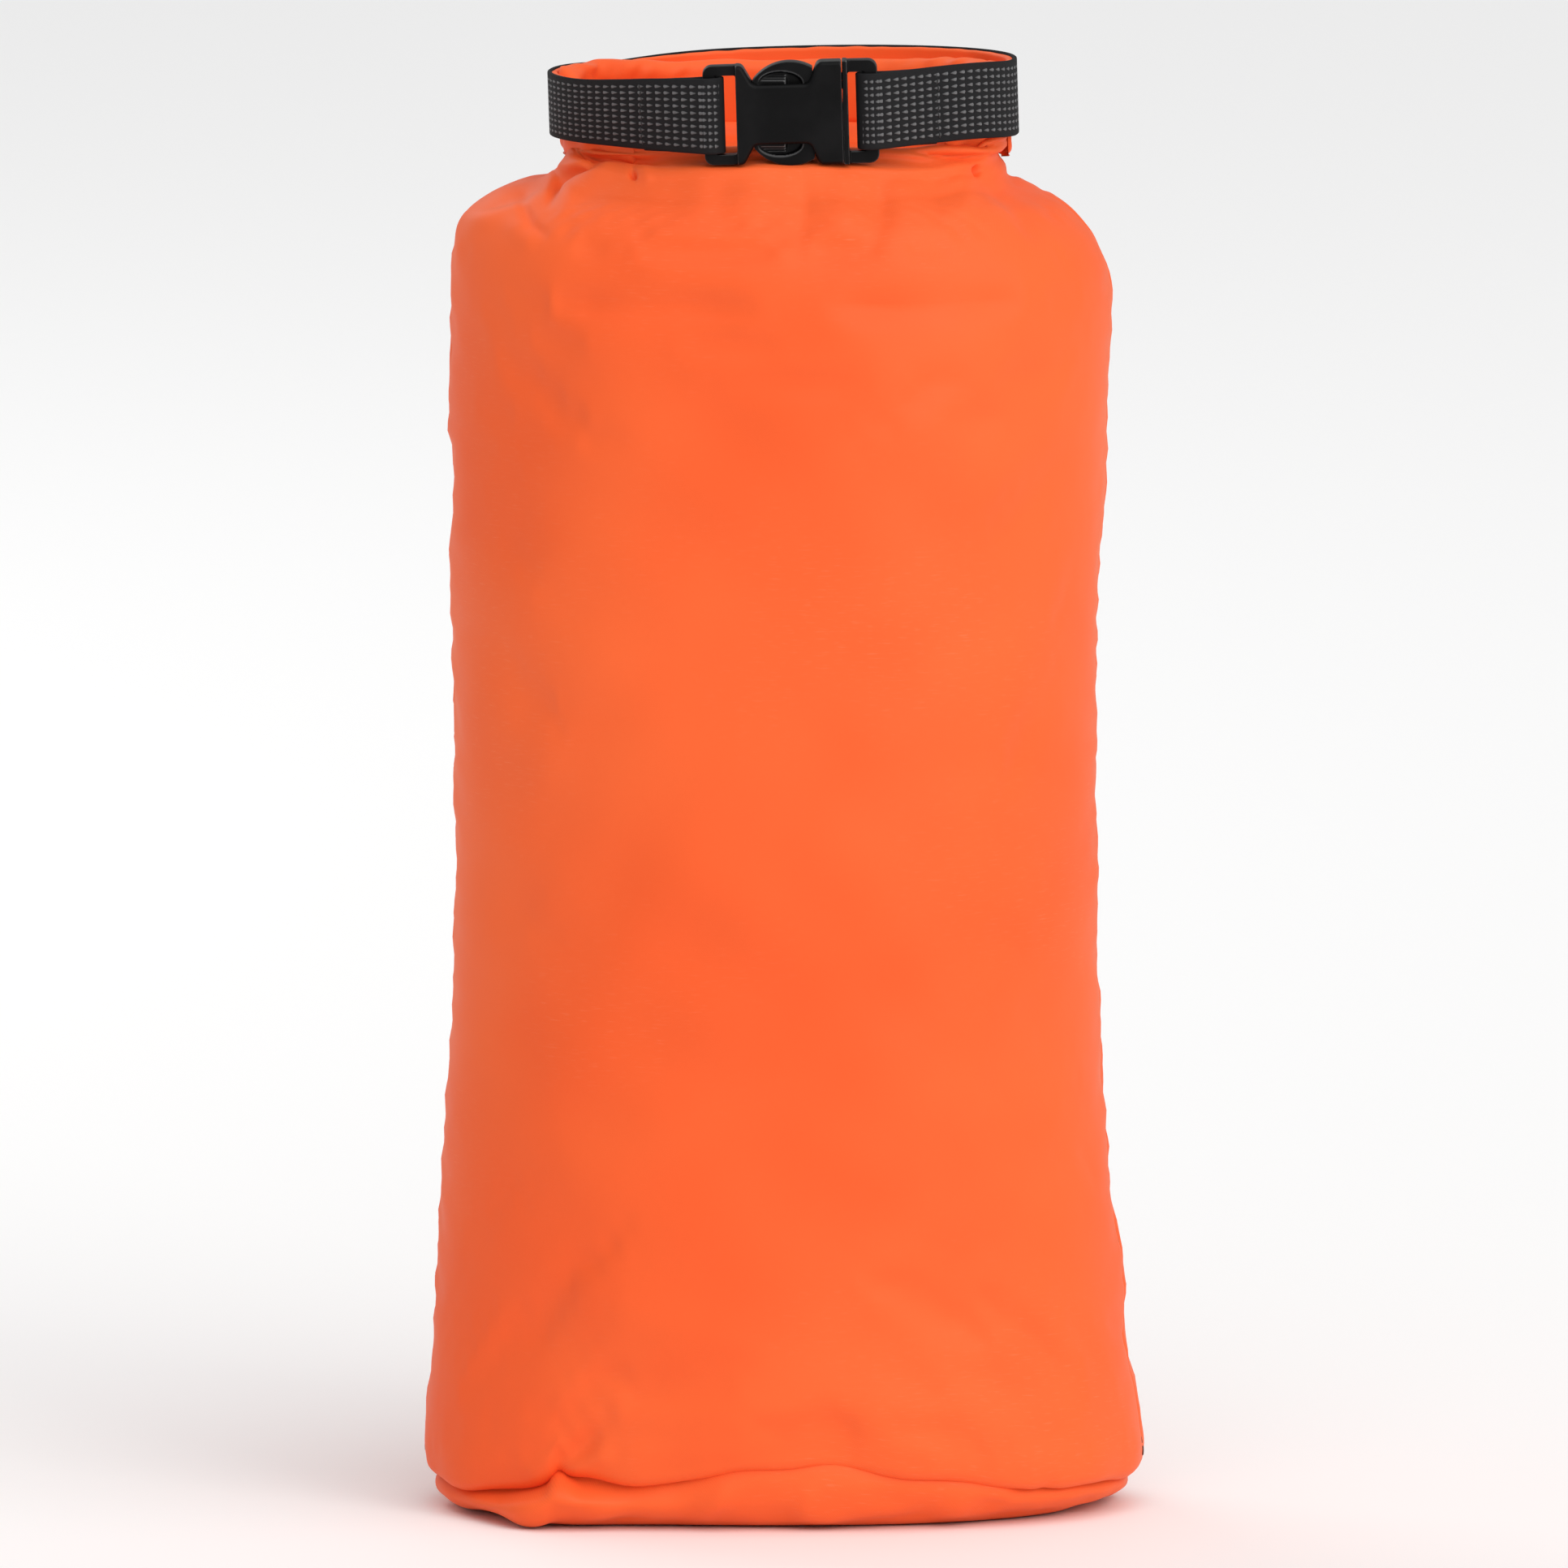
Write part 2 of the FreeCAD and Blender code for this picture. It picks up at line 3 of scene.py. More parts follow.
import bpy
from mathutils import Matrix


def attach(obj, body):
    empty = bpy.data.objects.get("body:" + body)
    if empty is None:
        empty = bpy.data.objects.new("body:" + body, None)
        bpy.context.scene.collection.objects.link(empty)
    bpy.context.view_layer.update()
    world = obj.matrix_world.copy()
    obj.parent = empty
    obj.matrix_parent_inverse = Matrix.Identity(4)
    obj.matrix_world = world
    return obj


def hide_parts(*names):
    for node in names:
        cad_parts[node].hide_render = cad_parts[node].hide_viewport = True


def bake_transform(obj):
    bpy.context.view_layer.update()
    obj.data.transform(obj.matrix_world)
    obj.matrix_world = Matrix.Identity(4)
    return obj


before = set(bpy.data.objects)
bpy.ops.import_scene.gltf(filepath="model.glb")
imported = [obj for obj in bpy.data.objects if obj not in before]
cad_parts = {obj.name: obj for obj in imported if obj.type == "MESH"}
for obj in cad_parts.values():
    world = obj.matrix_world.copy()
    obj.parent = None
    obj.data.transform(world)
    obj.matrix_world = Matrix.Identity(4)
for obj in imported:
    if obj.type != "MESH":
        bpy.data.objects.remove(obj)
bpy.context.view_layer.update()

import math

import bmesh
import bpy
import numpy as np
from mathutils import Vector

MM = 0.001

# ---- numbers of the object

# The filled bag: height, then half widths to the left and right, half depths to the front and back.
PROFILE = np.array([
    (15.5, 88.0, 87.2, 50.0, 50.0), (12.4, 91.6, 90.8, 53.6, 53.6),
    (13.8, 93.2, 93.0, 55.4, 55.4), (17.0, 93.9, 93.9, 56.6, 56.4),
    (26.0, 93.6, 93.2, 57.8, 57.2), (45.0, 91.9, 90.0, 59.0, 58.2),
    (75.0, 90.0, 87.2, 60.4, 59.5), (104.0, 88.6, 84.2, 61.4, 60.6),
    (140.0, 86.9, 82.3, 62.2, 61.6), (174.0, 85.8, 82.2, 62.8, 62.0),
    (220.0, 86.0, 82.4, 62.8, 62.0), (260.0, 86.6, 83.6, 62.2, 61.6),
    (300.0, 86.8, 84.8, 61.2, 60.6), (320.0, 86.4, 85.2, 60.2, 59.5),
    (330.0, 85.6, 83.0, 58.6, 57.8), (336.0, 84.2, 79.6, 56.6, 55.8),
    (340.0, 82.0, 75.9, 54.8, 54.0), (344.0, 77.2, 70.8, 52.0, 51.0),
    (347.6, 68.4, 63.4, 48.8, 46.6), (350.2, 60.4, 58.8, 46.2, 42.6),
    (352.4, 57.6, 57.2, 44.2, 40.6), (354.4, 56.8, 56.0, 42.6, 39.4),
    (356.2, 56.3, 55.9, 41.0, 38.0), (357.5, 56.0, 56.6, 38.4, 36.4),
    (357.8, 56.0, 57.2, 35.4, 34.8), (358.6, 56.2, 57.8, 33.0, 33.6),
    (360.4, 56.6, 58.4, 32.4, 33.2), (361.8, 55.0, 56.6, 31.4, 32.0),
    (361.4, 52.5, 53.5, 29.5, 29.5), (358.0, 50.0, 50.0, 27.0, 26.5),
    (356.4, 38.0, 38.0, 18.0, 18.0), (355.8, 16.0, 16.0, 8.0, 8.0),
    (355.6, 0.03, 0.03, 0.03, 0.03),
])
SEAM_HEIGHT = 12.4
SQUARENESS = 0.91
RIGHT_SEAM_LEAN = 0.07

# The base panel, from inside the base seam to the middle of the floor, in the same columns.
BASE_PROFILE = np.array([
    (16.0, 88.2, 87.4, 50.4, 50.4), (13.0, 89.6, 88.8, 51.6, 51.6),
    (10.0, 90.6, 89.8, 52.6, 52.4), (7.0, 90.0, 89.2, 52.2, 51.8),
    (4.0, 87.0, 86.0, 49.8, 49.4), (1.8, 82.5, 81.5, 46.2, 45.8),
    (0.5, 77.0, 76.0, 42.0, 41.6), (0.1, 71.0, 70.0, 37.5, 37.0),
    (0.1, 40.0, 40.0, 20.0, 20.0), (0.1, 0.03, 0.03, 0.03, 0.03),
])

# Height of the base seam along the front, from the left corner to the right one.
SEAM_LINE = np.array([
    (-94, 9.0), (-86, 8.0), (-78, 8.5), (-70, 9.4), (-65, 10.8), (-61, 13.0),
    (-58.6, 15.4), (-56, 14.2), (-50, 13.4), (-41, 12.7), (-32, 13.0), (-22, 14.3),
    (-12, 16.2), (0, 17.3), (9, 17.6), (18, 16.6), (31, 14.9), (40, 14.0),
    (49, 12.6), (59, 10.6), (67, 9.5), (77, 9.7), (86, 8.9), (94, 9.6),
])

# Creases and folds of the front: path of x and z, half width, height along the normal.
FRONT_FOLDS = (
    ([(-86, 330), (-81, 339), (-72.5, 346), (-63, 350), (-53, 353.8), (-43, 356.4)], 2.7, 1.7),
    ([(-80, 341.5), (-74, 344.2), (-68.5, 346.6), (-61, 349.6)], 1.0, -1.8),
    ([(-61, 346.4), (-58, 350.2), (-53.7, 352.9), (-49, 355.2), (-46, 356.2)], 0.9, -3.0),
    ([(-59, 344.4), (-55, 348.6), (-50, 352.2), (-44, 355)], 2.2, 1.3),
    ([(-66.6, 348), (-67.6, 345.2), (-65.6, 341.8), (-61, 339)], 1.5, -0.9),
    ([(-71, 343), (-69, 339), (-64, 336)], 3.0, 0.6),
    ([(-39.8, 355.2), (-39.2, 354.3), (-38.7, 353.3)], 0.8, -2.6),
    ([(-36.8, 357.5), (-35.6, 355), (-35, 352)], 1.6, 0.5),
    ([(49.6, 355), (50.3, 354), (51, 352.8)], 0.8, -2.4),
    ([(50.6, 353.4), (54.8, 349.6), (61, 344.4), (67, 337)], 2.2, -1.3),
    ([(44, 356), (47, 351), (48, 344)], 3.0, 0.8),
    ([(56, 351.8), (62, 348.2), (68, 344.4), (72, 340)], 1.6, -1.3),
    ([(50, 355.6), (58, 351.6), (66, 346.8), (74, 340.5)], 2.2, 1.0),
    ([(5, 356), (5.5, 348), (4.5, 340), (4, 333)], 3.0, -1.1),
    ([(25, 356), (25.5, 348), (24, 340), (23, 335)], 2.8, -0.9),
    ([(14, 356), (15, 348), (15, 339)], 4.0, 0.6),
    ([(-16, 356), (-17, 349), (-18, 342)], 4.0, -0.5),
    ([(38, 356), (39, 349), (41, 341)], 3.0, -0.6),
    ([(77, 98), (80.5, 92.5), (83, 87)], 1.6, -0.6),
    ([(84, 54), (87.5, 48.5), (90, 44)], 1.6, -0.7),
    ([(-59.6, 15), (-55.5, 19), (-50, 24.5), (-43, 31)], 2.0, -0.9),
    ([(-58, 15), (-51, 17.5), (-44, 22)], 2.6, 0.7),
    ([(-67, 12), (-63, 16), (-59, 21)], 2.8, 0.6),
    ([(66, 8), (69, 10.5), (72, 12)], 2.0, -0.6),
)

# Folds of the neck under the webbing, in the same terms.
NECK_FOLDS = (
    ([(-60, 358.4), (-50, 359.2), (-36, 359)], 0.6, -1.9),
    ([(-60, 356.9), (-52, 357.8), (-42, 358.4), (-32, 358)], 0.6, 1.0),
    ([(-58, 355.8), (-50, 356.6), (-40, 357.1), (-30, 356.9)], 0.6, -1.9),
    ([(33, 359.8), (40, 358.4), (45, 357.6), (52, 357.2)], 0.6, -1.7),
    ([(36, 360.6), (45, 359.2), (54, 358.2), (60, 358)], 0.7, 0.9),
    ([(46, 361), (54, 359.8), (60, 359.6)], 0.6, -1.1),
)

# Folds of the base panel's rim, in the same terms.
BASE_FOLDS = (
    ([(-61, 17), (-57, 12), (-54, 8)], 2.6, -1.4),
    ([(-23, 3), (-17, 8), (-13, 13)], 2.6, -0.9),
    ([(4, 3), (6, 9), (7, 14)], 2.4, -0.7),
)

# The carry loop: an ellipse seen from above, tilted so that its right side is higher.
LOOP_HALF_WIDTH = 61.2
LOOP_HALF_DEPTH = 38.0
LOOP_TILT = math.radians(1.7)
LEFT_LEAN = math.radians(27)
LOOP_SAG = 1.6

# The webbing of the loop, with the seams that close its two ends.
WEBBING_WALL = 1.2
WEBBING_LOW = 361.0
WEBBING_HIGH = 381.0
LEFT_SEAM_X = -37.0
RIGHT_SEAM_X = 40.2

# The roll and the hem of the mouth, whose insets are from the outside of the loop.
ROLL_INSET = 5.9
ROLL_THICKNESS = 6.0
ROLL_LOW = 355.0
ROLL_HIGH = 378.4
HEM_INSET = 2.05
HEM_THICKNESS = 1.5
HEM_LOW = 362.0
HEM_HIGH = 380.6
HEM_BEAD_Z = 379.8
HEM_STITCH_Z = 378.8

# The buckle: its middle, the bars that the strap ends go round and the plastic's thickness.
BUCKLE = (2.0, -36.0, 371.0)
LEFT_BAR_X = BUCKLE[0] - 21.1
RIGHT_BAR_X = BUCKLE[0] + 20.95
FOLD_RADIUS = 2.75
PRONG_HALF_THICKNESS = 2.3

# The bag's fabric: points round it, their spacing up it, and how far air pressure may move it.
FINE_COLUMNS = 640
COARSE_COLUMNS = 128
COARSE_SPACING = 5.0
SIMULATED_FRAMES = 20
LARGEST_MOVE = 1.7
TAPE_REACH = 12

# ---- numpy helpers


def spline(at, knots, values):
    """Smooth curve through values at knots; values may have columns."""
    knots, values = np.asarray(knots, float), np.asarray(values, float)
    slopes = np.gradient(values, knots, axis=0)
    left = np.clip(np.searchsorted(knots, at) - 1, 0, len(knots) - 2)
    width = knots[left + 1] - knots[left]
    t = np.clip((at - knots[left]) / width, 0, 1)
    if values.ndim > 1:
        width, t = width[..., None], t[..., None]
    start, end = values[left], values[left + 1]
    rise_in, rise_out = slopes[left] * width, slopes[left + 1] * width
    smooth = t * t * (3 - 2 * t)
    return start + smooth * (end - start) + t * (1 - t) * ((1 - t) * rise_in - t * rise_out)


def step(low, high, at):
    """0 below low, 1 above high and a smooth rise between."""
    t = np.clip((at - low) / (high - low), 0, 1)
    return t * t * (3 - 2 * t)


def ripple(points, wavelength, seed, waves=14):
    """A smooth random field of about unit height, whose bumps are a wavelength apart."""
    rng = np.random.default_rng(seed)
    total = np.zeros(points.shape[:-1])
    for _ in range(waves):
        direction = rng.normal(size=3)
        direction *= rng.uniform(0.7, 1.3) * 2 * math.pi / wavelength / np.linalg.norm(direction)
        total += np.sin(points @ direction + rng.uniform(0, 2 * math.pi))
    return total / math.sqrt(waves / 2)


def normals(grid):
    """Outward normals of a grid of rows, each a closed ring of points."""
    along = np.roll(grid, -1, axis=1) - np.roll(grid, 1, axis=1)
    up = np.gradient(grid, axis=0)
    across = np.cross(up, along)
    return across / np.maximum(np.linalg.norm(across, axis=-1, keepdims=True), 1e-9)


def stroke(points, path, half_width):
    """Height from 0 to 1 of a soft stroke along a path in the plane of x and z."""
    path = np.array(path, float)
    flat = points[..., [0, 2]]
    lengths = np.linalg.norm(np.diff(path, axis=0), axis=1)
    total, done = lengths.sum(), 0.0
    nearest = np.full(flat.shape[:-1], 1e9)
    where = np.zeros(flat.shape[:-1])
    for start, end, length in zip(path, path[1:], lengths):
        t = np.clip(((flat - start) @ (end - start)) / length**2, 0, 1)
        away = np.linalg.norm(flat - (start + t[..., None] * (end - start)), axis=-1)
        where = np.where(away < nearest, (done + t * length) / total, where)
        nearest = np.minimum(away, nearest)
        done += length
    taper = np.minimum(1, 3.2 * np.minimum(where, 1 - where) + 0.12)
    return np.exp(-((nearest / half_width) ** 2)) * taper


# ---- mesh helpers


def new_object(name, vertices, faces, uvs=None):
    """A mesh object from millimetres, with uvs given for each face's corners."""
    mesh = bpy.data.meshes.new(name)
    mesh.from_pydata((np.asarray(vertices) * MM).tolist(), [], faces)
    mesh.polygons.foreach_set("use_smooth", [True] * len(mesh.polygons))
    if uvs is not None:
        layer = mesh.uv_layers.new(name="UVMap")
        corners = np.array([uvs[v] for face in faces for v in face], dtype=np.float32)
        layer.data.foreach_set("uv", corners.ravel())
    obj = bpy.data.objects.new(name, mesh)
    bpy.context.scene.collection.objects.link(obj)
    return obj


def grid_faces(rows, columns, closed):
    """Quads of a grid whose rows may be closed rings."""
    faces = []
    for row in range(rows - 1):
        for column in range(columns if closed else columns - 1):
            after = (column + 1) % columns
            low, high = row * columns, (row + 1) * columns
            faces.append((low + column, low + after, high + after, high + column))
    return faces


def measured(grid):
    """Distances along the columns and rows of an open grid, in metres, for uvs."""
    across = np.linalg.norm(np.diff(grid, axis=1), axis=-1)
    middle = np.median(across, axis=0)
    u = np.concatenate([[0], np.cumsum(middle)])
    up = np.median(np.linalg.norm(np.diff(grid, axis=0), axis=-1), axis=1)
    v = np.concatenate([[0], np.cumsum(up)])
    return np.stack(np.meshgrid(u, v), axis=-1) * MM


def open_grid(name, grid):
    """An open sheet of quads over a grid of points."""
    rows, columns = grid.shape[:2]
    uvs = measured(grid).reshape(-1, 2)
    return new_object(name, grid.reshape(-1, 3), grid_faces(rows, columns, False), uvs)


def sweep(path, profile):
    """Rings of points: a profile of (sideways, height) that follows a path in plan.

    Sideways is to the right of the way the path runs: out of the loop on the short runs, which
    go from the buckle to the right end, and into it on the long runs, which go round the back.
    """
    path, profile = np.asarray(path, float), np.asarray(profile, float)
    tangent = np.gradient(path, axis=0)
    tangent /= np.linalg.norm(tangent, axis=1, keepdims=True)
    sideways = np.stack([tangent[:, 1], -tangent[:, 0]], axis=1)
    rings = np.empty((len(path), len(profile), 3))
    rings[..., :2] = path[:, None] + sideways[:, None] * profile[None, :, :1]
    rings[..., 2] = profile[None, :, 1]
    return rings


def laid(points):
    """Points of the level loop as it really lies.

    Its left end leans forward at the top, its right and back sag a little, and it is turned
    about the line through the buckle from front to back.
    """
    points = np.array(points, float)
    x, y, z = points[..., 0].copy(), points[..., 1].copy(), points[..., 2] - BUCKLE[2]
    lean = LEFT_LEAN * step(10, 57, -x)
    sag = LOOP_SAG * step(-26, -4, y) * step(-60, -40, x)
    points[..., 1] = y - z * np.sin(lean)
    z = z * np.cos(lean)
    points[..., 0] = x * math.cos(LOOP_TILT) - z * math.sin(LOOP_TILT)
    points[..., 2] = BUCKLE[2] + x * math.sin(LOOP_TILT) + z * math.cos(LOOP_TILT) - sag
    return points


def bar_object(name, rings):
    """A closed bar over rings of points, its ends shut, with uvs of length and height."""
    count, size = rings.shape[:2]
    middle = rings.mean(axis=1)
    length = np.concatenate([[0], np.cumsum(np.linalg.norm(np.diff(middle, axis=0), axis=1))])
    uvs = np.empty((count, size, 2))
    uvs[..., 0] = length[:, None]
    uvs[..., 1] = rings[..., 2] - rings[..., 2].min(axis=1, keepdims=True)
    faces = [face[::-1] for face in grid_faces(count, size, True)]
    faces.append(tuple(range(size)))
    faces.append(tuple(reversed(range((count - 1) * size, count * size))))
    obj = new_object(name, laid(rings).reshape(-1, 3), faces, uvs.reshape(-1, 2) * MM)
    fix_normals(obj)
    return obj


def fix_normals(obj):
    """Turns the faces outward."""
    work = bmesh.new()
    work.from_mesh(obj.data)
    bmesh.ops.recalc_face_normals(work, faces=work.faces)
    work.to_mesh(obj.data)
    work.free()


# ---- fabric of the bag


def ring_points(profile, angles):
    """Points round the bag at each row of a profile. Angle 0 is right, a quarter turn is front.

    Low down, the right side seam leans round to the front.
    """
    height, left, right, front, back = (profile[:, i, None] for i in range(5))
    wrapped = (angles + math.pi) % (2 * math.pi) - math.pi
    lean = RIGHT_SEAM_LEAN * (1 - step(40, 150, height))
    angles = angles + lean * np.exp(-((wrapped / 0.5) ** 2))
    cosine, sine = np.cos(angles), np.sin(angles)
    half_width = left + (right - left) * (0.5 + 0.5 * cosine)
    half_depth = back + (front - back) * (0.5 + 0.5 * sine)
    x = half_width * np.sign(cosine) * np.abs(cosine) ** SQUARENESS
    y = -half_depth * np.sign(sine) * np.abs(sine) ** SQUARENESS
    return np.stack([x, y, np.broadcast_to(height, x.shape)], axis=-1)


def seam_shift(x):
    """How far the base seam lies above its mean height."""
    return spline(np.clip(x, -94, 94), SEAM_LINE[:, 0], SEAM_LINE[:, 1]) - SEAM_HEIGHT


def profile_rows(profile, spacing):
    """Rows of a profile, spaced along its length by spacing(height)."""
    run = np.concatenate(
        [[0], np.cumsum(np.hypot(np.diff(profile[:, 0]), np.diff(profile[:, 1])))]
    )
    places, at = [], 0.0
    while at < run[-1]:
        places.append(at)
        at += spacing(np.interp(at, run, profile[:, 0]))
    places.append(run[-1])
    return spline(np.array(places), run, profile)


def bag_grid(columns, spacing):
    """The filled bag from inside its base seam to the middle of its neck, without folds."""
    angles = np.linspace(0, 2 * math.pi, columns, endpoint=False)
    grid = ring_points(profile_rows(PROFILE, spacing), angles)
    fade = 1 - step(SEAM_HEIGHT, 48, grid[..., 2])
    grid[..., 2] += seam_shift(grid[..., 0]) * fade
    return grid


def relaxed(grid):
    """How far a cloth simulation with air inside moves each point of a coarse grid."""
    rows, columns = grid.shape[:2]
    faces = grid_faces(rows, columns, True)
    faces.append(tuple(reversed(range(columns))))
    faces.append(tuple(range((rows - 1) * columns, rows * columns)))
    cloth_bag = new_object("cloth_bag", grid.reshape(-1, 3), faces)
    fix_normals(cloth_bag)
    heights = grid[..., 2].ravel()
    pinned = cloth_bag.vertex_groups.new(name="pinned")
    held = np.clip(step(334, 348, heights) + 1 - step(15, 26, heights), 0, 1)
    for index, weight in enumerate(held):
        pinned.add([index], float(weight), "REPLACE")
    settings = cloth_bag.modifiers.new("cloth", "CLOTH").settings
    settings.quality = 6
    settings.mass = 0.2
    settings.vertex_group_mass = "pinned"
    settings.tension_stiffness = 40
    settings.compression_stiffness = 40
    settings.shear_stiffness = 20
    settings.bending_stiffness = 0.6
    settings.shrink_min = -0.006
    settings.use_pressure = True
    settings.uniform_pressure_force = 5
    settings.effector_weights.gravity = 0
    scene = bpy.context.scene
    for number in range(1, SIMULATED_FRAMES + 1):
        scene.frame_set(number)
    shape = cloth_bag.evaluated_get(bpy.context.evaluated_depsgraph_get()).to_mesh()
    moved = np.empty(len(heights) * 3)
    shape.vertices.foreach_get("co", moved)
    scene.frame_set(1)
    bpy.data.objects.remove(cloth_bag)
    shift = moved.reshape(rows, columns, 3) / MM - grid
    size = np.linalg.norm(shift, axis=-1, keepdims=True)
    return shift * np.minimum(1, LARGEST_MOVE / np.maximum(size, 1e-6))


def drawn_folds(grid, front):
    """Height of the drawn creases, with the front's ones mirrored and weaker on the back."""
    mirror = grid * np.array([-1, -1, 1])
    lift = np.zeros(grid.shape[:2])
    for path, half_width, height in FRONT_FOLDS:
        lift += stroke(grid, path, half_width) * height * front
        lift += stroke(mirror, path, half_width) * height * (1 - front) * 0.6
    return lift


def loose_fabric(grid, z, side):
    """Height of the gathers under the neck and of the slack in the walls."""
    gathers = ripple(grid * np.array([1.0, 1.0, 0.1]), 15, 21)
    lift = 0.35 * gathers * step(338, 350, z) * (1 - step(354, 357, z)) * (1 - side**4)
    slack = step(16, 60, z) * (1 - step(344, 352, z)) * (1 - 0.8 * side**6)
    lift += 0.75 * ripple(grid * np.array([1, 1, 0.6]), 75, 11) * slack
    lift += 0.25 * ripple(grid, 30, 12) * slack
    return lift


def neck_folds(grid, z):
    """Height of the small folds of the neck under the webbing."""
    folds = sum(stroke(grid, path, width) * height for path, width, height in NECK_FOLDS)
    folds += 0.3 * ripple(grid * np.array([0.35, 0.35, 1.6]), 6, 54)
    return folds * step(356, 358, z)


def seam_puckers(grid, x, z, angle):
    """Height of the puckers beside the side seams, their grooves and the waves at the base."""
    at_side = np.exp(-((np.sin(angle) / 0.16) ** 2))
    body = step(18, 40, z) * (1 - step(335, 350, z))
    puckers = ripple(grid * np.array([0.15, 0.35, 1.0]), 26, 5)
    small = ripple(grid * np.array([0.3, 0.5, 1.0]), 9, 6)
    lift = at_side * body * (0.42 * puckers + 0.2 * small)
    groove = np.exp(-((seam_angles(grid) / 0.02) ** 2))
    lift -= 0.8 * groove * step(14, 20, z) * (1 - step(340, 348, z))
    at_seam = 1 - step(15, 34, z - seam_shift(x))
    lift += 0.5 * ripple(grid * np.array([1, 1, 0.3]), 22, 31) * at_seam
    return lift


def fold_fabric(grid):
    """Adds the folds, creases and slack of the fabric to the bag's grid."""
    grid = grid.copy()
    x, y, z = (grid[..., i].copy() for i in range(3))
    front = 1 - step(-6, 4, y)
    angle = np.arctan2(-y, x)
    lip_drop = 1.7 * step(6, 44, np.abs(x)) * (1 - step(48, 57, np.abs(x)))
    grid[..., 2] -= lip_drop * step(351, 356, z)
    lean = 0.42 * step(10, 57, -x)
    grid[..., 1] += lean * (BUCKLE[2] - z) * step(355.5, 358.5, z) * front
    lift = drawn_folds(grid, front) + loose_fabric(grid, z, np.abs(np.cos(angle)))
    lift *= 1 - step(357, 358.4, z)
    lift += neck_folds(grid, z) + seam_puckers(grid, x, z, angle)
    return grid + normals(grid) * lift[..., None]


def seam_angles(grid):
    """How far each column of a grid of the bag is from the nearer side seam, in radians."""
    turn = np.linspace(0, 2 * math.pi, grid.shape[1], endpoint=False)
    return np.broadcast_to(np.abs((turn + math.pi / 2) % math.pi - math.pi / 2), grid.shape[:2])


def fine_spacing(z):
    """Distance between the bag's rows at a height."""
    if z > 353:
        return 0.6
    return 0.9 if z > 330 or z < 22 else 2.4


def coarse_spacing(z):
    """Distance between the rows of the simulated bag, which is the same at every height."""
    return COARSE_SPACING


def make_bag(material):
    """The front and back fabric, which meet at the side seams, and the grid they are cut from."""
    grid = bag_grid(FINE_COLUMNS, fine_spacing)
    shift = relaxed(bag_grid(COARSE_COLUMNS, coarse_spacing))
    coarse_rows = profile_rows(PROFILE, coarse_spacing)
    fine_rows = profile_rows(PROFILE, fine_spacing)
    shift = resampled(shift, coarse_rows, fine_rows, FINE_COLUMNS)
    turn = np.linspace(0, 2 * math.pi, FINE_COLUMNS, endpoint=False)
    held_sides = 1 - 0.85 * np.cos(turn) ** 4
    grid = grid + shift * held_sides[None, :, None]
    grid = fold_fabric(grid)
    half = FINE_COLUMNS // 2
    closed = np.concatenate([grid, grid[:, :1]], axis=1)
    pieces = []
    for name, part in (("front_fabric", closed[:, : half + 1]), ("back_fabric", closed[:, half:])):
        piece = open_grid(name, part)
        piece.data.materials.append(material)
        pieces.append(piece)
    return pieces, grid


def make_tapes(grid, material):
    """The film tapes inside the side seams and just above the base seam."""
    inside = grid - 1.1 * normals(grid)
    heights = grid[..., 2].mean(axis=1)
    edge = np.argmin(heights)
    rows = np.flatnonzero((heights > 26) & (heights < 336))
    strips = {}
    for name, column in (("right_seam", 0), ("left_seam", FINE_COLUMNS // 2)):
        strips[name] = np.roll(inside, TAPE_REACH - column, axis=1)[rows, : 2 * TAPE_REACH + 1]
    low_rows = np.flatnonzero((np.arange(len(heights)) > edge + 2) & (heights < 24))
    low = inside[low_rows] - 0.6 * normals(grid)[low_rows]
    strips["base_seam"] = np.concatenate([low, low[:, :1]], axis=1)
    tapes = {}
    for name, strip in strips.items():
        piece = open_grid(name + "_film", strip)
        thicken = piece.modifiers.new("thicken", "SOLIDIFY")
        thicken.thickness = 0.3 * MM
        piece.data.materials.append(material)
        tapes[name + "_tape"] = piece
    return tapes


def base_line(grid):
    """Points just inside the bag's lower edge, all the way round."""
    edge = np.argmin(grid[:, FINE_COLUMNS // 4, 2])
    inside = grid[max(edge - 2, 0)]
    return np.concatenate([inside, inside[:1]]) - np.array([0, 0, 0.3])


def side_line(grid, column):
    """Points just outside a side seam, from near the base to the shoulder."""
    line = grid[:, column] + 0.12 * normals(grid)[:, column]
    edge = np.argmin(line[:, 2])
    line = line[edge:]
    return line[(line[:, 2] > 13) & (line[:, 2] < 338)]


def resampled(shift, coarse_rows, fine_rows, columns):
    """A coarse grid's shifts on the rows and columns of the fine grid."""
    def run(rows):
        steps = np.hypot(np.diff(rows[:, 0]), np.diff(rows[:, 1]))
        total = np.concatenate([[0], np.cumsum(steps)])
        return total / total[-1]

    down = spline(run(fine_rows), run(coarse_rows), shift.reshape(len(shift), -1))
    down = down.reshape(len(fine_rows), -1, 3)
    count = down.shape[1]
    wrapped = np.concatenate([down[:, -2:], down, down[:, :3]], axis=1).transpose(1, 0, 2)
    along = np.arange(columns) * count / columns + 2
    values = spline(along, np.arange(len(wrapped)), wrapped.reshape(len(wrapped), -1))
    return values.reshape(columns, len(fine_rows), 3).transpose(1, 0, 2)


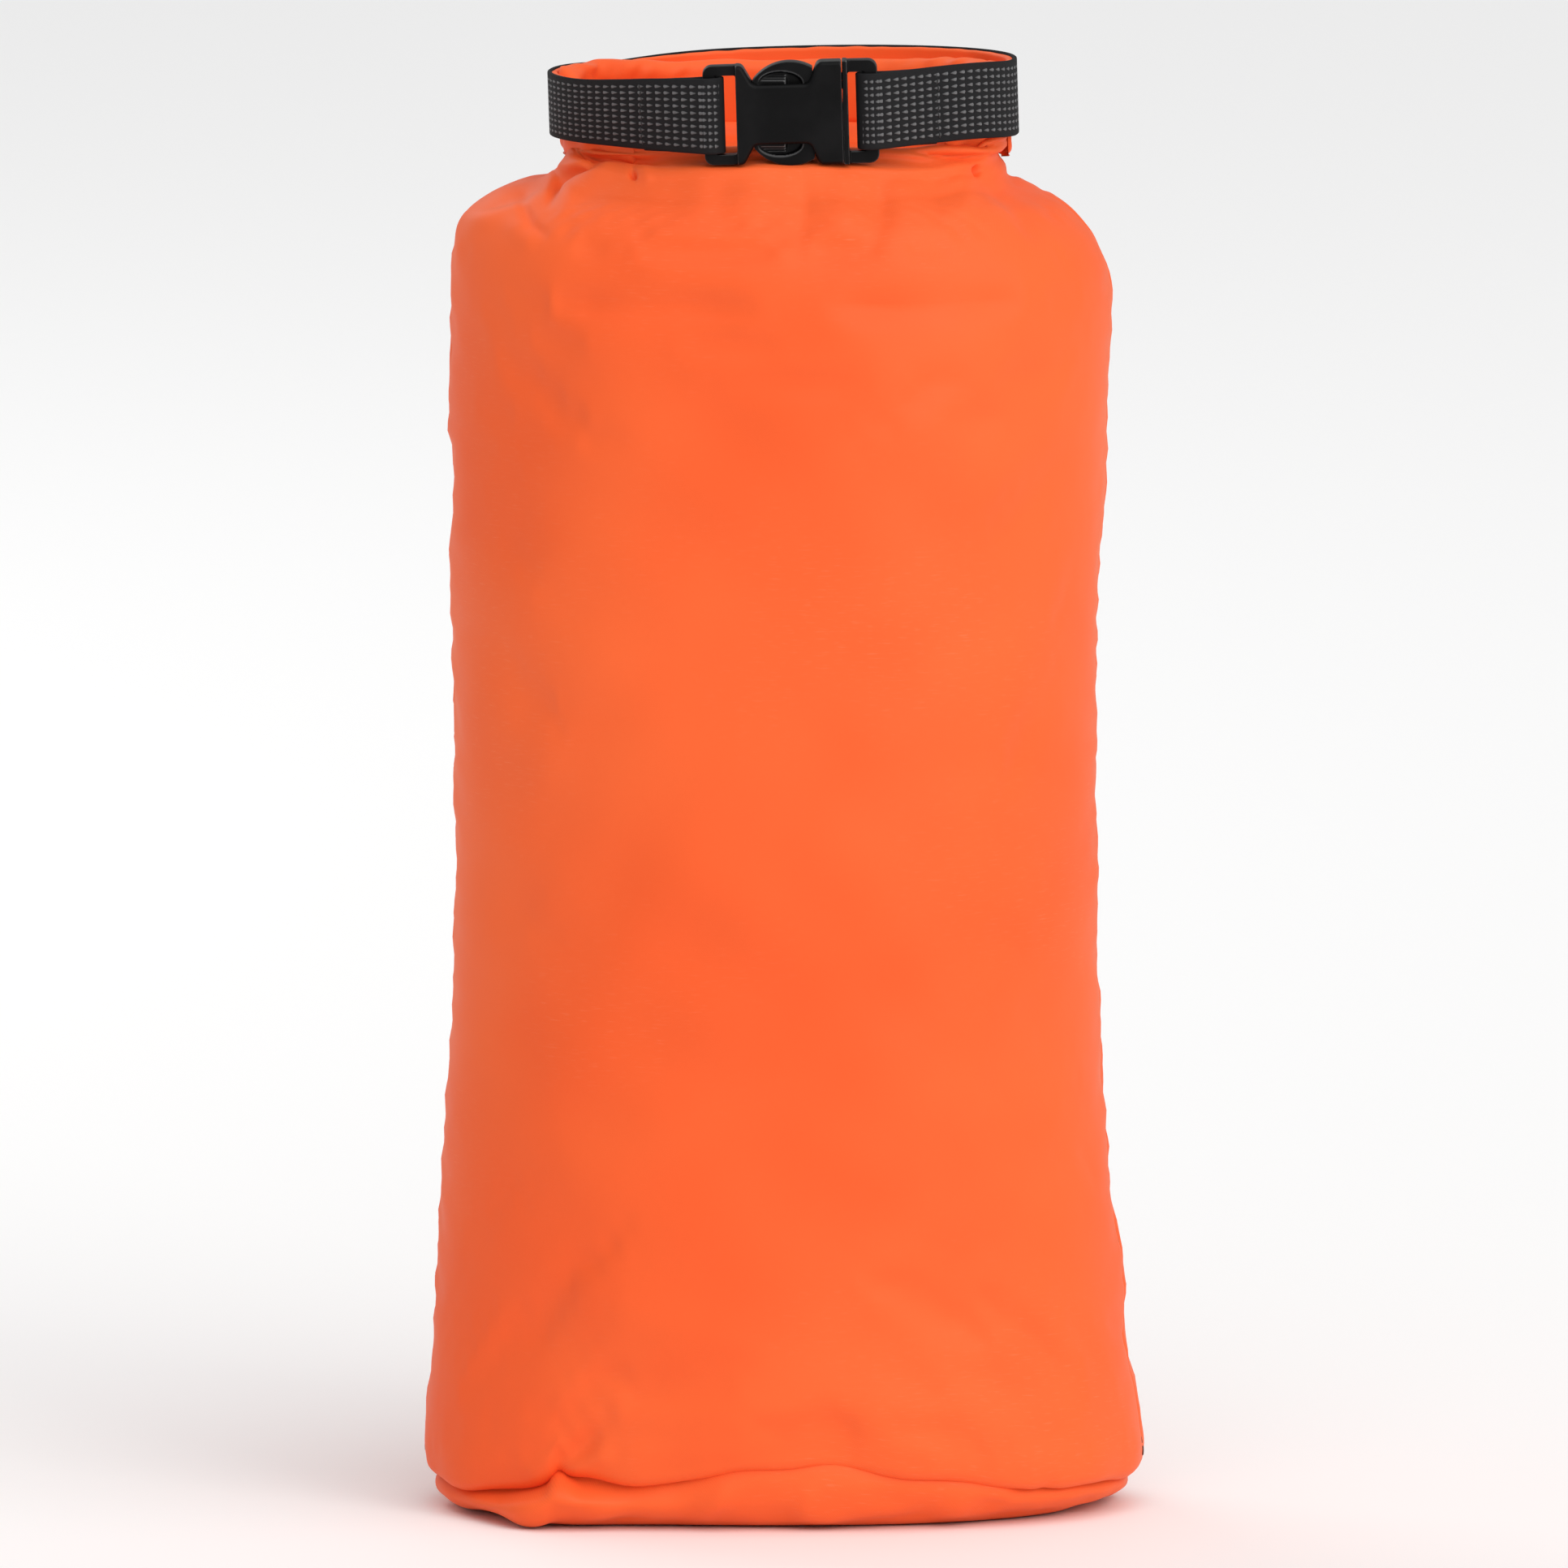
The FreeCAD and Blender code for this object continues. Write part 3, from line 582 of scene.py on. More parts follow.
def make_base(material):
    """The base panel with its rim, which comes out from under the base seam."""
    angles = np.linspace(0, 2 * math.pi, 481)
    rows = profile_rows(BASE_PROFILE, lambda z: 0.8 if z > 0.3 else 4.0)
    grid = ring_points(rows, angles)
    x, y, z = (grid[..., i].copy() for i in range(3))
    grid[..., 2] += seam_shift(x) * z / SEAM_HEIGHT
    front = step(0, 30, -y)
    grid[..., 2] += 1.6 * step(30, 80, x) * front * step(0.2, 2, z) * (1 - step(4, 12, z))
    belly = np.exp(-(((x + 63) / 20) ** 2)) * front * (1 - step(7, 12, z))
    grid[..., 1] -= 10.5 * belly
    grid[..., 0] -= 1.5 * belly
    out = normals(grid[:, :-1])
    out = np.concatenate([out, out[:, :1]], axis=1)
    near_seam = step(6, 11, z)
    waves = 0.7 * ripple(grid * np.array([1, 1, 0.4]), 34, 41) + 0.3 * ripple(grid, 14, 42)
    lift = waves * (1 - 0.8 * near_seam)
    lift -= 1.5 * step(-30, -12, x) * (1 - step(56, 62, x)) * near_seam * front
    for path, half_width, height in BASE_FOLDS:
        lift += stroke(grid, path, half_width) * height * front
    grid = grid + out * (lift * step(0.2, 3, z))[..., None]
    piece = open_grid("base_fabric", grid)
    piece.data.materials.append(material)
    return piece


# ---- carry loop


def loop_arc(inset, start, end, spacing=1.2):
    """Points in plan on the loop's ellipse drawn in by inset. Angle 0 is right, 90 is front."""
    angles = np.radians(np.linspace(start, end, 900))
    x = (LOOP_HALF_WIDTH - inset) * np.cos(angles)
    y = -(LOOP_HALF_DEPTH - inset) * np.sin(angles)
    return evenly(np.stack([x, y], axis=1), spacing)


def evenly(points, spacing):
    """The same line with points that far apart."""
    points = np.asarray(points, float)
    run = np.concatenate([[0], np.cumsum(np.linalg.norm(np.diff(points, axis=0), axis=1))])
    count = max(2, int(round(run[-1] / spacing)) + 1)
    places = np.linspace(0, run[-1], count)
    return np.stack([np.interp(places, run, points[:, i]) for i in range(2)], axis=1)


def angle_at(x, inset):
    """Angle in degrees on the front of the loop's ellipse where it reaches x."""
    return math.degrees(math.acos(x / (LOOP_HALF_WIDTH - inset)))


def strap_end_path(bar_x, seam):
    """Plan of a strap end from its free end behind the seam, round the bar and back to the seam."""
    sign = 1 if seam[0] > bar_x else -1
    centre = np.array([bar_x, BUCKLE[1]])
    run, rise = abs(seam[0] - bar_x), seam[1] - centre[1]
    reach = math.hypot(run, rise)
    radius = FOLD_RADIUS + WEBBING_WALL / 2
    turn, spread = math.atan2(rise, run), math.asin(radius / reach)
    front, back = turn + spread, turn - spread
    angles = np.linspace(back + math.pi / 2, front - math.pi / 2 + 2 * math.pi, 40)
    fold = centre + radius * np.stack([sign * np.cos(angles), np.sin(angles)], axis=1)
    free_end = fold[0] + (reach - 1) * np.array([sign * math.cos(back), math.sin(back)])
    return np.concatenate([[free_end + np.array([0, 0.5])], fold, [seam]])


def strap_profile():
    """Section of the webbing: sideways and height, with soft edges."""
    half = WEBBING_WALL / 2
    edge = [(0.0, 0.0), (0.34, 0.06), (0.53, 0.22), (0.6, 0.5)]
    heights = np.linspace(0.9, WEBBING_HIGH - WEBBING_LOW - 0.9, 26)
    low = [(half * x / 0.6, z) for x, z in edge]
    high = [(x, WEBBING_HIGH - WEBBING_LOW - z) for x, z in reversed(low)]
    side = low + [(half, z) for z in heights] + high
    other = [(-x, z) for x, z in reversed(side[1:-1])]
    return np.array(side + other) + np.array([0, WEBBING_LOW])


def make_straps(material):
    """The long run of webbing with its left end, and the right end."""
    inset = WEBBING_WALL / 2
    left_angle, right_angle = angle_at(LEFT_SEAM_X, inset), angle_at(RIGHT_SEAM_X, inset)
    run = loop_arc(inset, left_angle, 360 + 1.0)
    left = np.concatenate([strap_end_path(LEFT_BAR_X, run[0])[:-1], run])
    end = loop_arc(inset, right_angle, 1.0)
    right = np.concatenate([strap_end_path(RIGHT_BAR_X, end[0])[:-1], end])
    pieces = []
    for name, path in (("webbing_left", left), ("webbing_right", right)):
        path = evenly(path, 0.8)
        rings = sweep(path, strap_profile())
        rings[..., 2] -= 0.4 * (1 - step(12, 22, 0.8 * np.arange(len(path))))[:, None]
        piece = bar_object(name, rings)
        piece.data.materials.append(material)
        pieces.append(piece)
    return pieces


def rounded_bar(thickness, low, high, radius, steps=6, rows=18):
    """Section of a flat bar with round corners: sideways and height."""
    half = thickness / 2
    radius = min(radius, half)
    section = []
    for x, z, begin in (
        (half - radius, low + radius, -90),
        (half - radius, high - radius, 0),
        (radius - half, high - radius, 90),
        (radius - half, low + radius, 180),
    ):
        for angle in np.radians(np.linspace(begin, begin + 90, steps)):
            section.append((x + radius * math.cos(angle), z + radius * math.sin(angle)))
        if begin in (-90, 90):
            ends = (low + radius, high - radius) if begin == -90 else (high - radius, low + radius)
            side = half if begin == -90 else -half
            section += [(side, z) for z in np.linspace(*ends, rows)[1:-1]]
    return np.array(section)


def roll_rings(start, end):
    """The rolled mouth between two angles of the loop, puckered along its top.

    Low down, its right face draws back, and the left face has a crease along it.
    """
    path = loop_arc(ROLL_INSET, start, end, 0.6)
    section = rounded_bar(ROLL_THICKNESS, ROLL_LOW, ROLL_HIGH, 2.9, 8, 60)
    rings = sweep(path, section)
    sideways = sweep(path, section + np.array([1, 0])) - rings
    right_face = (section[:, 0] > 0)[None, :]
    z = rings[..., 2].copy()
    towards_end = step(20, 52, np.abs(rings[..., 0]))
    ripples = ripple(rings * np.array([1, 1, 0.25]), 9, 51)
    broad = ripple(rings * np.array([1, 1, 0.5]), 24, 52)
    slant = ripple(rings + z[..., None] * np.array([0.8, 0, 0]), 12, 53)
    bulge = 0.35 * broad + towards_end * (0.3 * ripples + 0.25 * slant)
    bulge -= 0.55 * np.exp(-(((z - 364.2) / 0.45) ** 2)) * ~right_face
    bulge -= 2.2 * (1 - step(358, 363, z)) * right_face
    slanting = ripple(rings + z[..., None] * np.array([-0.9, 0, 0]), 5.5, 56)
    bulge += 0.28 * slanting * step(366, 374, z) * step(12, 40, np.abs(rings[..., 0]))
    rings = rings + sideways * bulge[..., None]
    top = step(371, 378, z)
    behind = step(-8, 2, rings[..., 1])
    left_back = step(4, 18, -rings[..., 0]) * (0.5 + 2.6 * step(26, 46, -rings[..., 0]))
    middle_back = -0.3 * step(-16, -6, rings[..., 0]) * (1 - step(36, 44, rings[..., 0]))
    right_back = 0.4 * step(36, 44, rings[..., 0])
    wave = 0.12 * broad + 0.3 * towards_end * ripples
    rings[..., 2] += top * (wave + 1.3 * behind * (left_back + middle_back + right_back))
    return rings


def hem_rings(start, end):
    """The hem of the mouth: a thin lining of the webbing with a folded bead along its top.

    The bead and the groove under it are on the left face.
    """
    path = loop_arc(HEM_INSET, start, end, 0.8)
    section = rounded_bar(HEM_THICKNESS, HEM_LOW, HEM_HIGH, 0.7, 5, 44)
    rings = sweep(path, section)
    sideways = sweep(path, section + np.array([1, 0])) - rings
    left_face = (section[:, 0] < 0)[None, :]
    z = rings[..., 2]
    bead = np.exp(-(((z - HEM_BEAD_Z) / 0.7) ** 2))
    groove = np.exp(-(((z - HEM_STITCH_Z) / 0.3) ** 2))
    wave = ripple(rings * np.array([1, 1, 0.2]), 7, 61)
    swell = (0.7 * bead * (1 + 0.15 * wave) - 0.45 * groove) * left_face
    rings = rings - sideways * swell[..., None]
    rings[..., 2] += 0.07 * wave * step(378, 380, z)
    return rings


def make_mouth(material):
    """The roll and the hem: their left and back runs, and their right ends."""
    pieces = {}
    for name, rings, inset in (("collar", roll_rings, ROLL_INSET), ("hem", hem_rings, HEM_INSET)):
        left_angle = angle_at(LEFT_SEAM_X - 1, inset)
        right_angle = angle_at(RIGHT_SEAM_X + 1, inset)
        pieces[name + "_left"] = bar_object(name + "_left", rings(left_angle, 361.0))
        pieces[name + "_right"] = bar_object(name + "_right", rings(right_angle, 1.0))
    for piece in pieces.values():
        piece.data.materials.append(material)
    return pieces


# ---- thread


def stitches(name, places, directions, length, radius, material):
    """Short rounded stitches, each centred on a place and lying along its direction."""
    outline = ((-0.5, 0.35), (-0.38, 0.85), (0, 1.0), (0.38, 0.85), (0.5, 0.35))
    sides = 8
    skin = grid_faces(len(outline), sides, True)
    skin.append(tuple(range(sides)))
    skin.append(tuple(range((len(outline) - 1) * sides, len(outline) * sides)))
    vertices, faces = [], []
    for place, along in zip(places, directions):
        place, along = Vector(place), Vector(along).normalized()
        side = along.cross(Vector((0, 0, 1)))
        if side.length < 0.1:
            side = along.cross(Vector((0, 1, 0)))
        side.normalize()
        other = along.cross(side)
        faces += [tuple(len(vertices) + i for i in face) for face in skin]
        for share, width in outline:
            for turn in np.linspace(0, 2 * math.pi, sides, endpoint=False):
                spoke = side * math.cos(turn) + other * math.sin(turn)
                vertices.append(place + along * (share * length) + spoke * (width * radius))
    obj = new_object(name, [list(v) for v in vertices], faces)
    fix_normals(obj)
    obj.data.materials.append(material)
    return obj


def rows_of_stitches(name, line, spacing, length, radius, material):
    """Stitches in a row along a line of points."""
    line = np.asarray(line, float)
    run = np.concatenate([[0], np.cumsum(np.linalg.norm(np.diff(line, axis=0), axis=1))])
    middles = np.arange(spacing / 2, run[-1], spacing)

    def at(distance):
        return np.stack([np.interp(distance, run, line[:, i]) for i in range(3)], axis=1)

    directions = at(middles + length / 2) - at(middles - length / 2)
    return stitches(name, at(middles), directions, length, radius, material)


def strap_seam(seam_x):
    """The slightly wavering line of a seam across the webbing."""
    angle = math.radians(angle_at(seam_x, 0))
    heights = np.linspace(WEBBING_LOW + 1.2, WEBBING_HIGH - 1.2, 40)
    x = LOOP_HALF_WIDTH * math.cos(angle) + 0.25 * np.sin(heights * 2.6)
    y = np.full(len(heights), -LOOP_HALF_DEPTH * math.sin(angle))
    return laid(np.column_stack([x, y, heights]))


def make_threads(grid, brown, black):
    """The stitches of the side seams, the base seam, the hem and the two strap seams."""
    threads = {}
    for side, column in (("right", 0), ("left", FINE_COLUMNS // 2)):
        threads[side + "_seam_stitching"] = rows_of_stitches(
            side + "_thread", side_line(grid, column), 3.3, 2.5, 0.28, brown
        )
    threads["base_seam_stitching"] = rows_of_stitches(
        "base_thread", base_line(grid), 3.3, 2.5, 0.25, brown
    )
    inset = HEM_INSET + 0.5
    hem = loop_arc(inset, angle_at(LEFT_SEAM_X - 1, inset), 360.0, 0.8)
    hem = np.column_stack([hem, np.full(len(hem), HEM_STITCH_Z)])
    threads["hem_stitching"] = rows_of_stitches(
        "hem_thread", laid(hem), 2.4, 1.9, 0.17, black
    )
    for side, seam_x in (("left", LEFT_SEAM_X), ("right", RIGHT_SEAM_X)):
        threads[side + "_bartack"] = rows_of_stitches(
            side + "_strap_thread", strap_seam(seam_x), 1.9, 1.5, 0.24, black
        )
    return threads


# ---- materials


class Nodes:
    """Short way of writing a node tree."""

    def __init__(self, name, colour, roughness):
        self.material = bpy.data.materials.new(name)
        self.material.use_nodes = True
        self.tree = self.material.node_tree
        self.shader = self.tree.nodes["Principled BSDF"]
        self.shader.inputs["Base Color"].default_value = (*colour, 1)
        self.shader.inputs["Roughness"].default_value = roughness
        self.material.diffuse_color = (*colour, 1)

    def add(self, kind, settings=None, **inputs):
        """A node; inputs are values or the outputs of other nodes, by name or number."""
        node = self.tree.nodes.new(kind)
        for key, value in (settings or {}).items():
            setattr(node, key, value)
        for key, value in inputs.items():
            socket = node.inputs[int(key[1:]) if key[0] == "i" and key[1:].isdigit() else key]
            self.put(socket, value)
        return node

    def put(self, socket, value):
        """Links a node's first output, or an output, or sets a value."""
        if isinstance(value, bpy.types.Node):
            value = value.outputs[0]
        if isinstance(value, bpy.types.NodeSocket):
            self.tree.links.new(value, socket)
        else:
            socket.default_value = value

    def math(self, operation, *values):
        """A maths node."""
        inputs = {f"i{number}": value for number, value in enumerate(values)}
        return self.add("ShaderNodeMath", {"operation": operation}, **inputs)

    def mix(self, factor, first, second):
        """Mixes two colours."""
        node = self.add("ShaderNodeMix", {"data_type": "RGBA"})
        self.put(node.inputs[0], factor)
        for socket, value in ((node.inputs[6], first), (node.inputs[7], second)):
            self.put(socket, (*value, 1) if isinstance(value, tuple) else value)
        return node.outputs[2]

    def noise(self, scale, detail=2.0, vector=None):
        """Noise in object space or along a vector."""
        node = self.add("ShaderNodeTexNoise", Scale=scale, Detail=detail)
        if vector is None:
            vector = self.add("ShaderNodeTexCoord").outputs["Object"]
        self.put(node.inputs["Vector"], vector)
        return node.outputs["Fac"]

    def stretched(self, output, scale):
        """Coordinates of that kind, scaled."""
        source = self.add("ShaderNodeTexCoord").outputs[output]
        node = self.add("ShaderNodeVectorMath", {"operation": "MULTIPLY"}, i0=source, i1=scale)
        return node.outputs[0]

    def ramp(self, value, low, high):
        """0 below low and 1 above high."""
        settings = {"interpolation_type": "SMOOTHSTEP"}
        node = self.add("ShaderNodeMapRange", settings, Value=value)
        node.inputs["From Min"].default_value = low
        node.inputs["From Max"].default_value = high
        return node.outputs[0]

    def bump(self, height, strength, distance):
        """Bumps the shader's surface by a height."""
        node = self.add("ShaderNodeBump", Height=height, Strength=strength, Distance=distance)
        self.put(self.shader.inputs["Normal"], node)


def fabric_material():
    """Coated twill: fine diagonal ribs, pale slubs, uneven dye and a satin sheen."""
    n = Nodes("coated_twill", (0.93, 0.13, 0.03), 0.5)
    uv = n.add("ShaderNodeTexCoord").outputs["UV"]
    parts = n.add("ShaderNodeSeparateXYZ", Vector=uv)
    u, v = parts.outputs[0], parts.outputs[1]
    rib_pitch, weft_pitch = 0.00056, 0.00045
    slant = n.math("ADD", u, n.math("MULTIPLY", v, 0.8))
    diagonal = n.math("MULTIPLY", slant, 2 * math.pi / rib_pitch)
    twill = n.math("MULTIPLY_ADD", n.math("SINE", diagonal), 0.5, 0.5)
    weft = n.math("SINE", n.math("MULTIPLY", v, 2 * math.pi / weft_pitch))
    weave = n.math("MULTIPLY_ADD", weft, 0.25, twill)
    slub = n.noise(1.0, 3.0, n.stretched("UV", (240.0, 2200.0, 1.0)))
    patches = n.ramp(n.noise(14.0, 2.0), 0.42, 0.68)
    slubs = n.math("MULTIPLY", n.ramp(slub, 0.55, 0.8), patches)
    dye = n.noise(9.0, 3.0)
    cloth = n.mix(n.ramp(dye, 0.3, 0.7), (0.91, 0.112, 0.022), (0.95, 0.142, 0.032))
    cloth = n.mix(n.math("MULTIPLY", twill, 0.10), cloth, (0.55, 0.04, 0.01))
    cloth = n.mix(n.math("MULTIPLY", slubs, 0.17), cloth, (1.0, 0.36, 0.2))
    n.put(n.shader.inputs["Base Color"], cloth)
    rough = n.math("MULTIPLY_ADD", n.noise(40.0, 3.0), 0.16, 0.46)
    n.put(n.shader.inputs["Roughness"], rough)
    n.shader.inputs["Sheen Weight"].default_value = 0.06
    n.shader.inputs["Sheen Roughness"].default_value = 0.5
    n.shader.inputs["Sheen Tint"].default_value = (1.0, 0.5, 0.3, 1)
    n.shader.inputs["Specular IOR Level"].default_value = 0.2
    crumple = n.noise(220.0, 3.0)
    height = n.math("MULTIPLY_ADD", crumple, 0.5, n.math("MULTIPLY", weave, 0.16))
    n.bump(height, 0.3, 0.0002)
    return n.material


def webbing_material():
    """Black ribbed webbing with rows of raised grey dashes, in the texture's metres.

    On the front near the buckle the dashes stand closer, and close to it there are none. The
    edges of the webbing have no dashes either.
    """
    n = Nodes("dashed_webbing", (0.012, 0.012, 0.013), 0.75)
    column_pitch, crowded_pitch, row_pitch, first_row = 0.0026, 0.0013, 0.00175, 0.00125
    blank_end, crowded_end, half_height, margin = 0.0187, 0.0229, 0.01, 0.0011
    rib_pitch, weft_pitch = 0.00044, 0.00058
    uv = n.add("ShaderNodeTexCoord").outputs["UV"]
    parts = n.add("ShaderNodeSeparateXYZ", Vector=uv)
    length, height = parts.outputs[0], parts.outputs[1]
    wobble = n.math("MULTIPLY", n.math("SUBTRACT", n.noise(1100.0, 1.0), 0.5), 0.16)
    spot = n.add("ShaderNodeSeparateXYZ", Vector=n.add("ShaderNodeTexCoord").outputs["Object"])
    sideways = n.math("ABSOLUTE", n.math("SUBTRACT", spot.outputs[0], BUCKLE[0] * MM))
    at_back = n.math("GREATER_THAN", spot.outputs[1], -0.02)
    from_buckle = n.math("ADD", sideways, at_back)
    crowded = n.math("LESS_THAN", from_buckle, crowded_end)
    closer = 1 / crowded_pitch - 1 / column_pitch
    columns = n.math("MULTIPLY_ADD", crowded, closer, 1 / column_pitch)
    along = n.math("MULTIPLY_ADD", length, columns, wobble)
    across = n.math("DIVIDE", n.math("SUBTRACT", height, first_row), row_pitch)
    place = n.math("FRACT", along)
    away = n.math("ABSOLUTE", n.math("SUBTRACT", n.math("FRACT", across), 0.5))
    grown = n.ramp(place, -0.3, 0.74)
    far_end = n.ramp(n.math("SUBTRACT", 0.88, place), 0.0, 0.12)
    ends = n.math("MULTIPLY", n.ramp(place, 0.03, 0.16), far_end)
    half = n.math("MULTIPLY_ADD", n.math("MULTIPLY", grown, ends), 0.32, -0.02)
    dash = n.ramp(n.math("SUBTRACT", half, away), 0.0, 0.12)
    dash = n.math("MULTIPLY", dash, n.math("GREATER_THAN", from_buckle, blank_end))
    middle = n.math("ABSOLUTE", n.math("SUBTRACT", height, half_height))
    inner = n.ramp(n.math("SUBTRACT", half_height - margin, middle), 0.0, 0.0002)
    dash = n.math("MULTIPLY", dash, inner)
    ribs = n.math("SINE", n.math("MULTIPLY", length, 2 * math.pi / rib_pitch))
    rows = n.math("SINE", n.math("MULTIPLY", height, 2 * math.pi / weft_pitch))
    weave = n.math("MULTIPLY_ADD", n.math("MULTIPLY", ribs, rows), 0.5, 0.5)
    fleck = n.noise(3200.0, 2.0)
    shade = n.math("MULTIPLY", dash, n.math("MULTIPLY_ADD", fleck, 1.0, 0.25))
    shade = n.math("MULTIPLY", shade, n.math("MULTIPLY_ADD", grown, 0.8, 0.1))
    cloth = n.mix(n.math("MULTIPLY", weave, fleck), (0.005, 0.005, 0.006), (0.026, 0.027, 0.029))
    n.put(n.shader.inputs["Base Color"], n.mix(shade, cloth, (0.2, 0.203, 0.21)))
    n.put(n.shader.inputs["Roughness"], n.math("MULTIPLY_ADD", dash, -0.25, 0.8))
    n.shader.inputs["Specular IOR Level"].default_value = 0.2
    n.bump(n.math("ADD", dash, n.math("MULTIPLY", weave, 0.35)), 0.8, 0.00025)
    return n.material


def plastic_material():
    """Moulded black plastic with a fine spark-eroded grain and a painted highlight on its rounded
    edges.
    """
    n = Nodes("moulded_black", (0.010, 0.010, 0.011), 0.42)
    grain = n.noise(2400.0, 2.0)
    smudge = n.noise(90.0, 3.0)
    # Painted highlight: this attribute gives the rounded edges a lighter colour and a stronger
    # specular level.
    edge_highlight = n.add("ShaderNodeAttribute", {"attribute_name": "painted_edge_highlight"}).outputs["Fac"]
    colour = n.mix(n.ramp(smudge, 0.35, 0.7), (0.003, 0.003, 0.0033), (0.006, 0.006, 0.0065))
    colour = n.mix(edge_highlight, colour, (0.13, 0.13, 0.134))
    n.put(n.shader.inputs["Base Color"], colour)
    n.put(n.shader.inputs["Roughness"], n.math("MULTIPLY_ADD", smudge, 0.2, 0.3))
    n.put(n.shader.inputs["Specular IOR Level"], n.math("MULTIPLY_ADD", edge_highlight, 0.6, 0.1))
    n.bump(grain, 0.25, 0.00006)
    return n.material


def thread_material(name, colour):
    """Twisted polyester thread."""
    n = Nodes(name, colour, 0.6)
    twist = n.noise(3000.0, 2.0)
    dark = tuple(0.4 * part for part in colour)
    n.put(n.shader.inputs["Base Color"], n.mix(n.ramp(twist, 0.35, 0.65), dark, colour))
    n.bump(twist, 0.5, 0.00006)
    return n.material


def tape_material():
    """Glossy film tape over the inside of a seam."""
    n = Nodes("seam_tape_film", (0.75, 0.2, 0.08), 0.3)
    ripples = n.noise(150.0, 3.0)
    n.put(n.shader.inputs["Roughness"], n.math("MULTIPLY_ADD", ripples, 0.2, 0.22))
    n.bump(ripples, 0.3, 0.0002)
    return n.material


# ---- buckle


def read_points(mesh):
    """The places of a mesh's vertices."""
    points = np.empty(len(mesh.vertices) * 3, dtype=np.float32)
    mesh.vertices.foreach_get("co", points)
    return points.reshape(-1, 3).astype(float)


def finger_grip(x, z):
    """Depth of the crescent sunk into a finger pad, with three steps at its left.

    x and z are measured from the middle of the buckle, z away from its centre line.
    """
    pad_x, pad_z, pad_length, pad_height, deepest = -2.7, 8.0, 5.9, 3.1, 1.75
    above = z - pad_z
    oval = 1 - ((x - pad_x) / pad_length) ** 2 - (above / pad_height) ** 2
    inside = step(0, 0.15, oval) * (above > -1.2)
    stairs = 0.4 + 0.45 * sum(step(edge, edge + 0.1, above) for edge in (0.7, 1.35, 2.0))
    left = 1 - step(-1.4, -1.2, x)
    return inside * (left * stairs + (1 - left) * deepest)


def press_grip(mesh):
    """Sinks the finger grip into the front of a prong."""
    points = read_points(mesh)
    x, y, z = (points[:, i] / MM - BUCKLE[i] for i in range(3))
    at_front = 1 - step(0.3, 0.9, y + PRONG_HALF_THICKNESS)
    points[:, 1] += finger_grip(x, np.abs(z)) * at_front * MM
    mesh.vertices.foreach_set("co", points.ravel())


def close_gap(mesh):
    """Brings the plug's end plate up against the mouth of the housing."""
    points = read_points(mesh)
    x = points[:, 0] / MM - BUCKLE[0]
    points[:, 0] -= 0.14 * step(13.38, 13.5, x) * (1 - step(13.8, 14.5, x)) * MM
    mesh.vertices.foreach_set("co", points.ravel())


def baked(obj):
    """The mesh that an object's modifiers make; the modifiers are removed."""
    graph = bpy.context.evaluated_depsgraph_get()
    mesh = bpy.data.meshes.new_from_object(obj.evaluated_get(graph))
    obj.modifiers.clear()
    return mesh


def softened(node, name, material, reshape):
    """A moulded copy of a CAD node, with its edges rounded off and a painted highlight on them."""
    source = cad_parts[node]
    copy = bpy.data.objects.new(name, source.data.copy())
    copy.data.transform(source.matrix_world)
    bpy.context.scene.collection.objects.link(copy)
    remesh = copy.modifiers.new("remesh", "REMESH")
    remesh.mode = "VOXEL"
    remesh.voxel_size = 0.16 * MM
    mesh = baked(copy)
    if reshape:
        reshape(mesh)
    sharp = read_points(mesh)
    copy.data = mesh
    smooth = copy.modifiers.new("smooth", "SMOOTH")
    smooth.factor = 0.5
    smooth.iterations = 24
    mesh = baked(copy)
    copy.data = mesh
    outward = np.empty(len(mesh.vertices) * 3, dtype=np.float32)
    mesh.vertex_normals.foreach_get("vector", outward)
    # Painted highlight: the further a point moved when the edges were rounded, the lighter the
    # plastic is painted there.
    rounding = ((sharp - read_points(mesh)) * outward.reshape(-1, 3)).sum(axis=1) / MM
    painted_edge_highlight = mesh.attributes.new("painted_edge_highlight", "FLOAT", "POINT")
    painted_edge_highlight.data.foreach_set("value", step(0.05, 0.2, rounding).astype(np.float32))
    mesh.materials.clear()
    mesh.materials.append(material)
    mesh.polygons.foreach_set("use_smooth", [True] * len(mesh.polygons))
    return copy


# ---- putting it together

twill = fabric_material()
webbing = webbing_material()
plastic = plastic_material()
black_thread = thread_material("black_thread", (0.02, 0.02, 0.022))
brown_thread = thread_material("brown_thread", (0.16, 0.035, 0.02))
tape = tape_material()

(front_fabric, back_fabric), surface = make_bag(twill)
tapes = make_tapes(surface, tape)
base_fabric = make_base(twill)
for piece, nodes in (
    (front_fabric, ("front_panel", "gathered_neck")),
    (back_fabric, ("back_panel",)),
):
    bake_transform(piece)
    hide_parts(*nodes)
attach(base_fabric, "bag")
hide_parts("base_panel")

webbing_left, webbing_right = make_straps(webbing)
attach(webbing_left, "closure")
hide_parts("webbing_strap")
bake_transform(webbing_right)
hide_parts("right_strap_end")

mouth = make_mouth(twill)
for name, node in (("collar_left", "rolled_collar"), ("hem_left", "mouth_hem")):
    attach(mouth[name], "closure")
    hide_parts(node)
for name, node in (("collar_right", "right_collar_end"), ("hem_right", "right_hem_end")):
    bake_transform(mouth[name])
    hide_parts(node)

for node, name, body, reshape in (
    ("buckle_housing", "moulded_socket", "closure", None),
    ("plug_frame", "moulded_plug", "plug", close_gap),
    ("upper_prong", "moulded_upper_prong", "upper_prong", press_grip),
    ("lower_prong", "moulded_lower_prong", "lower_prong", press_grip),
):
    piece = softened(node, name, plastic, reshape)
    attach(piece, body)
    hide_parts(node)

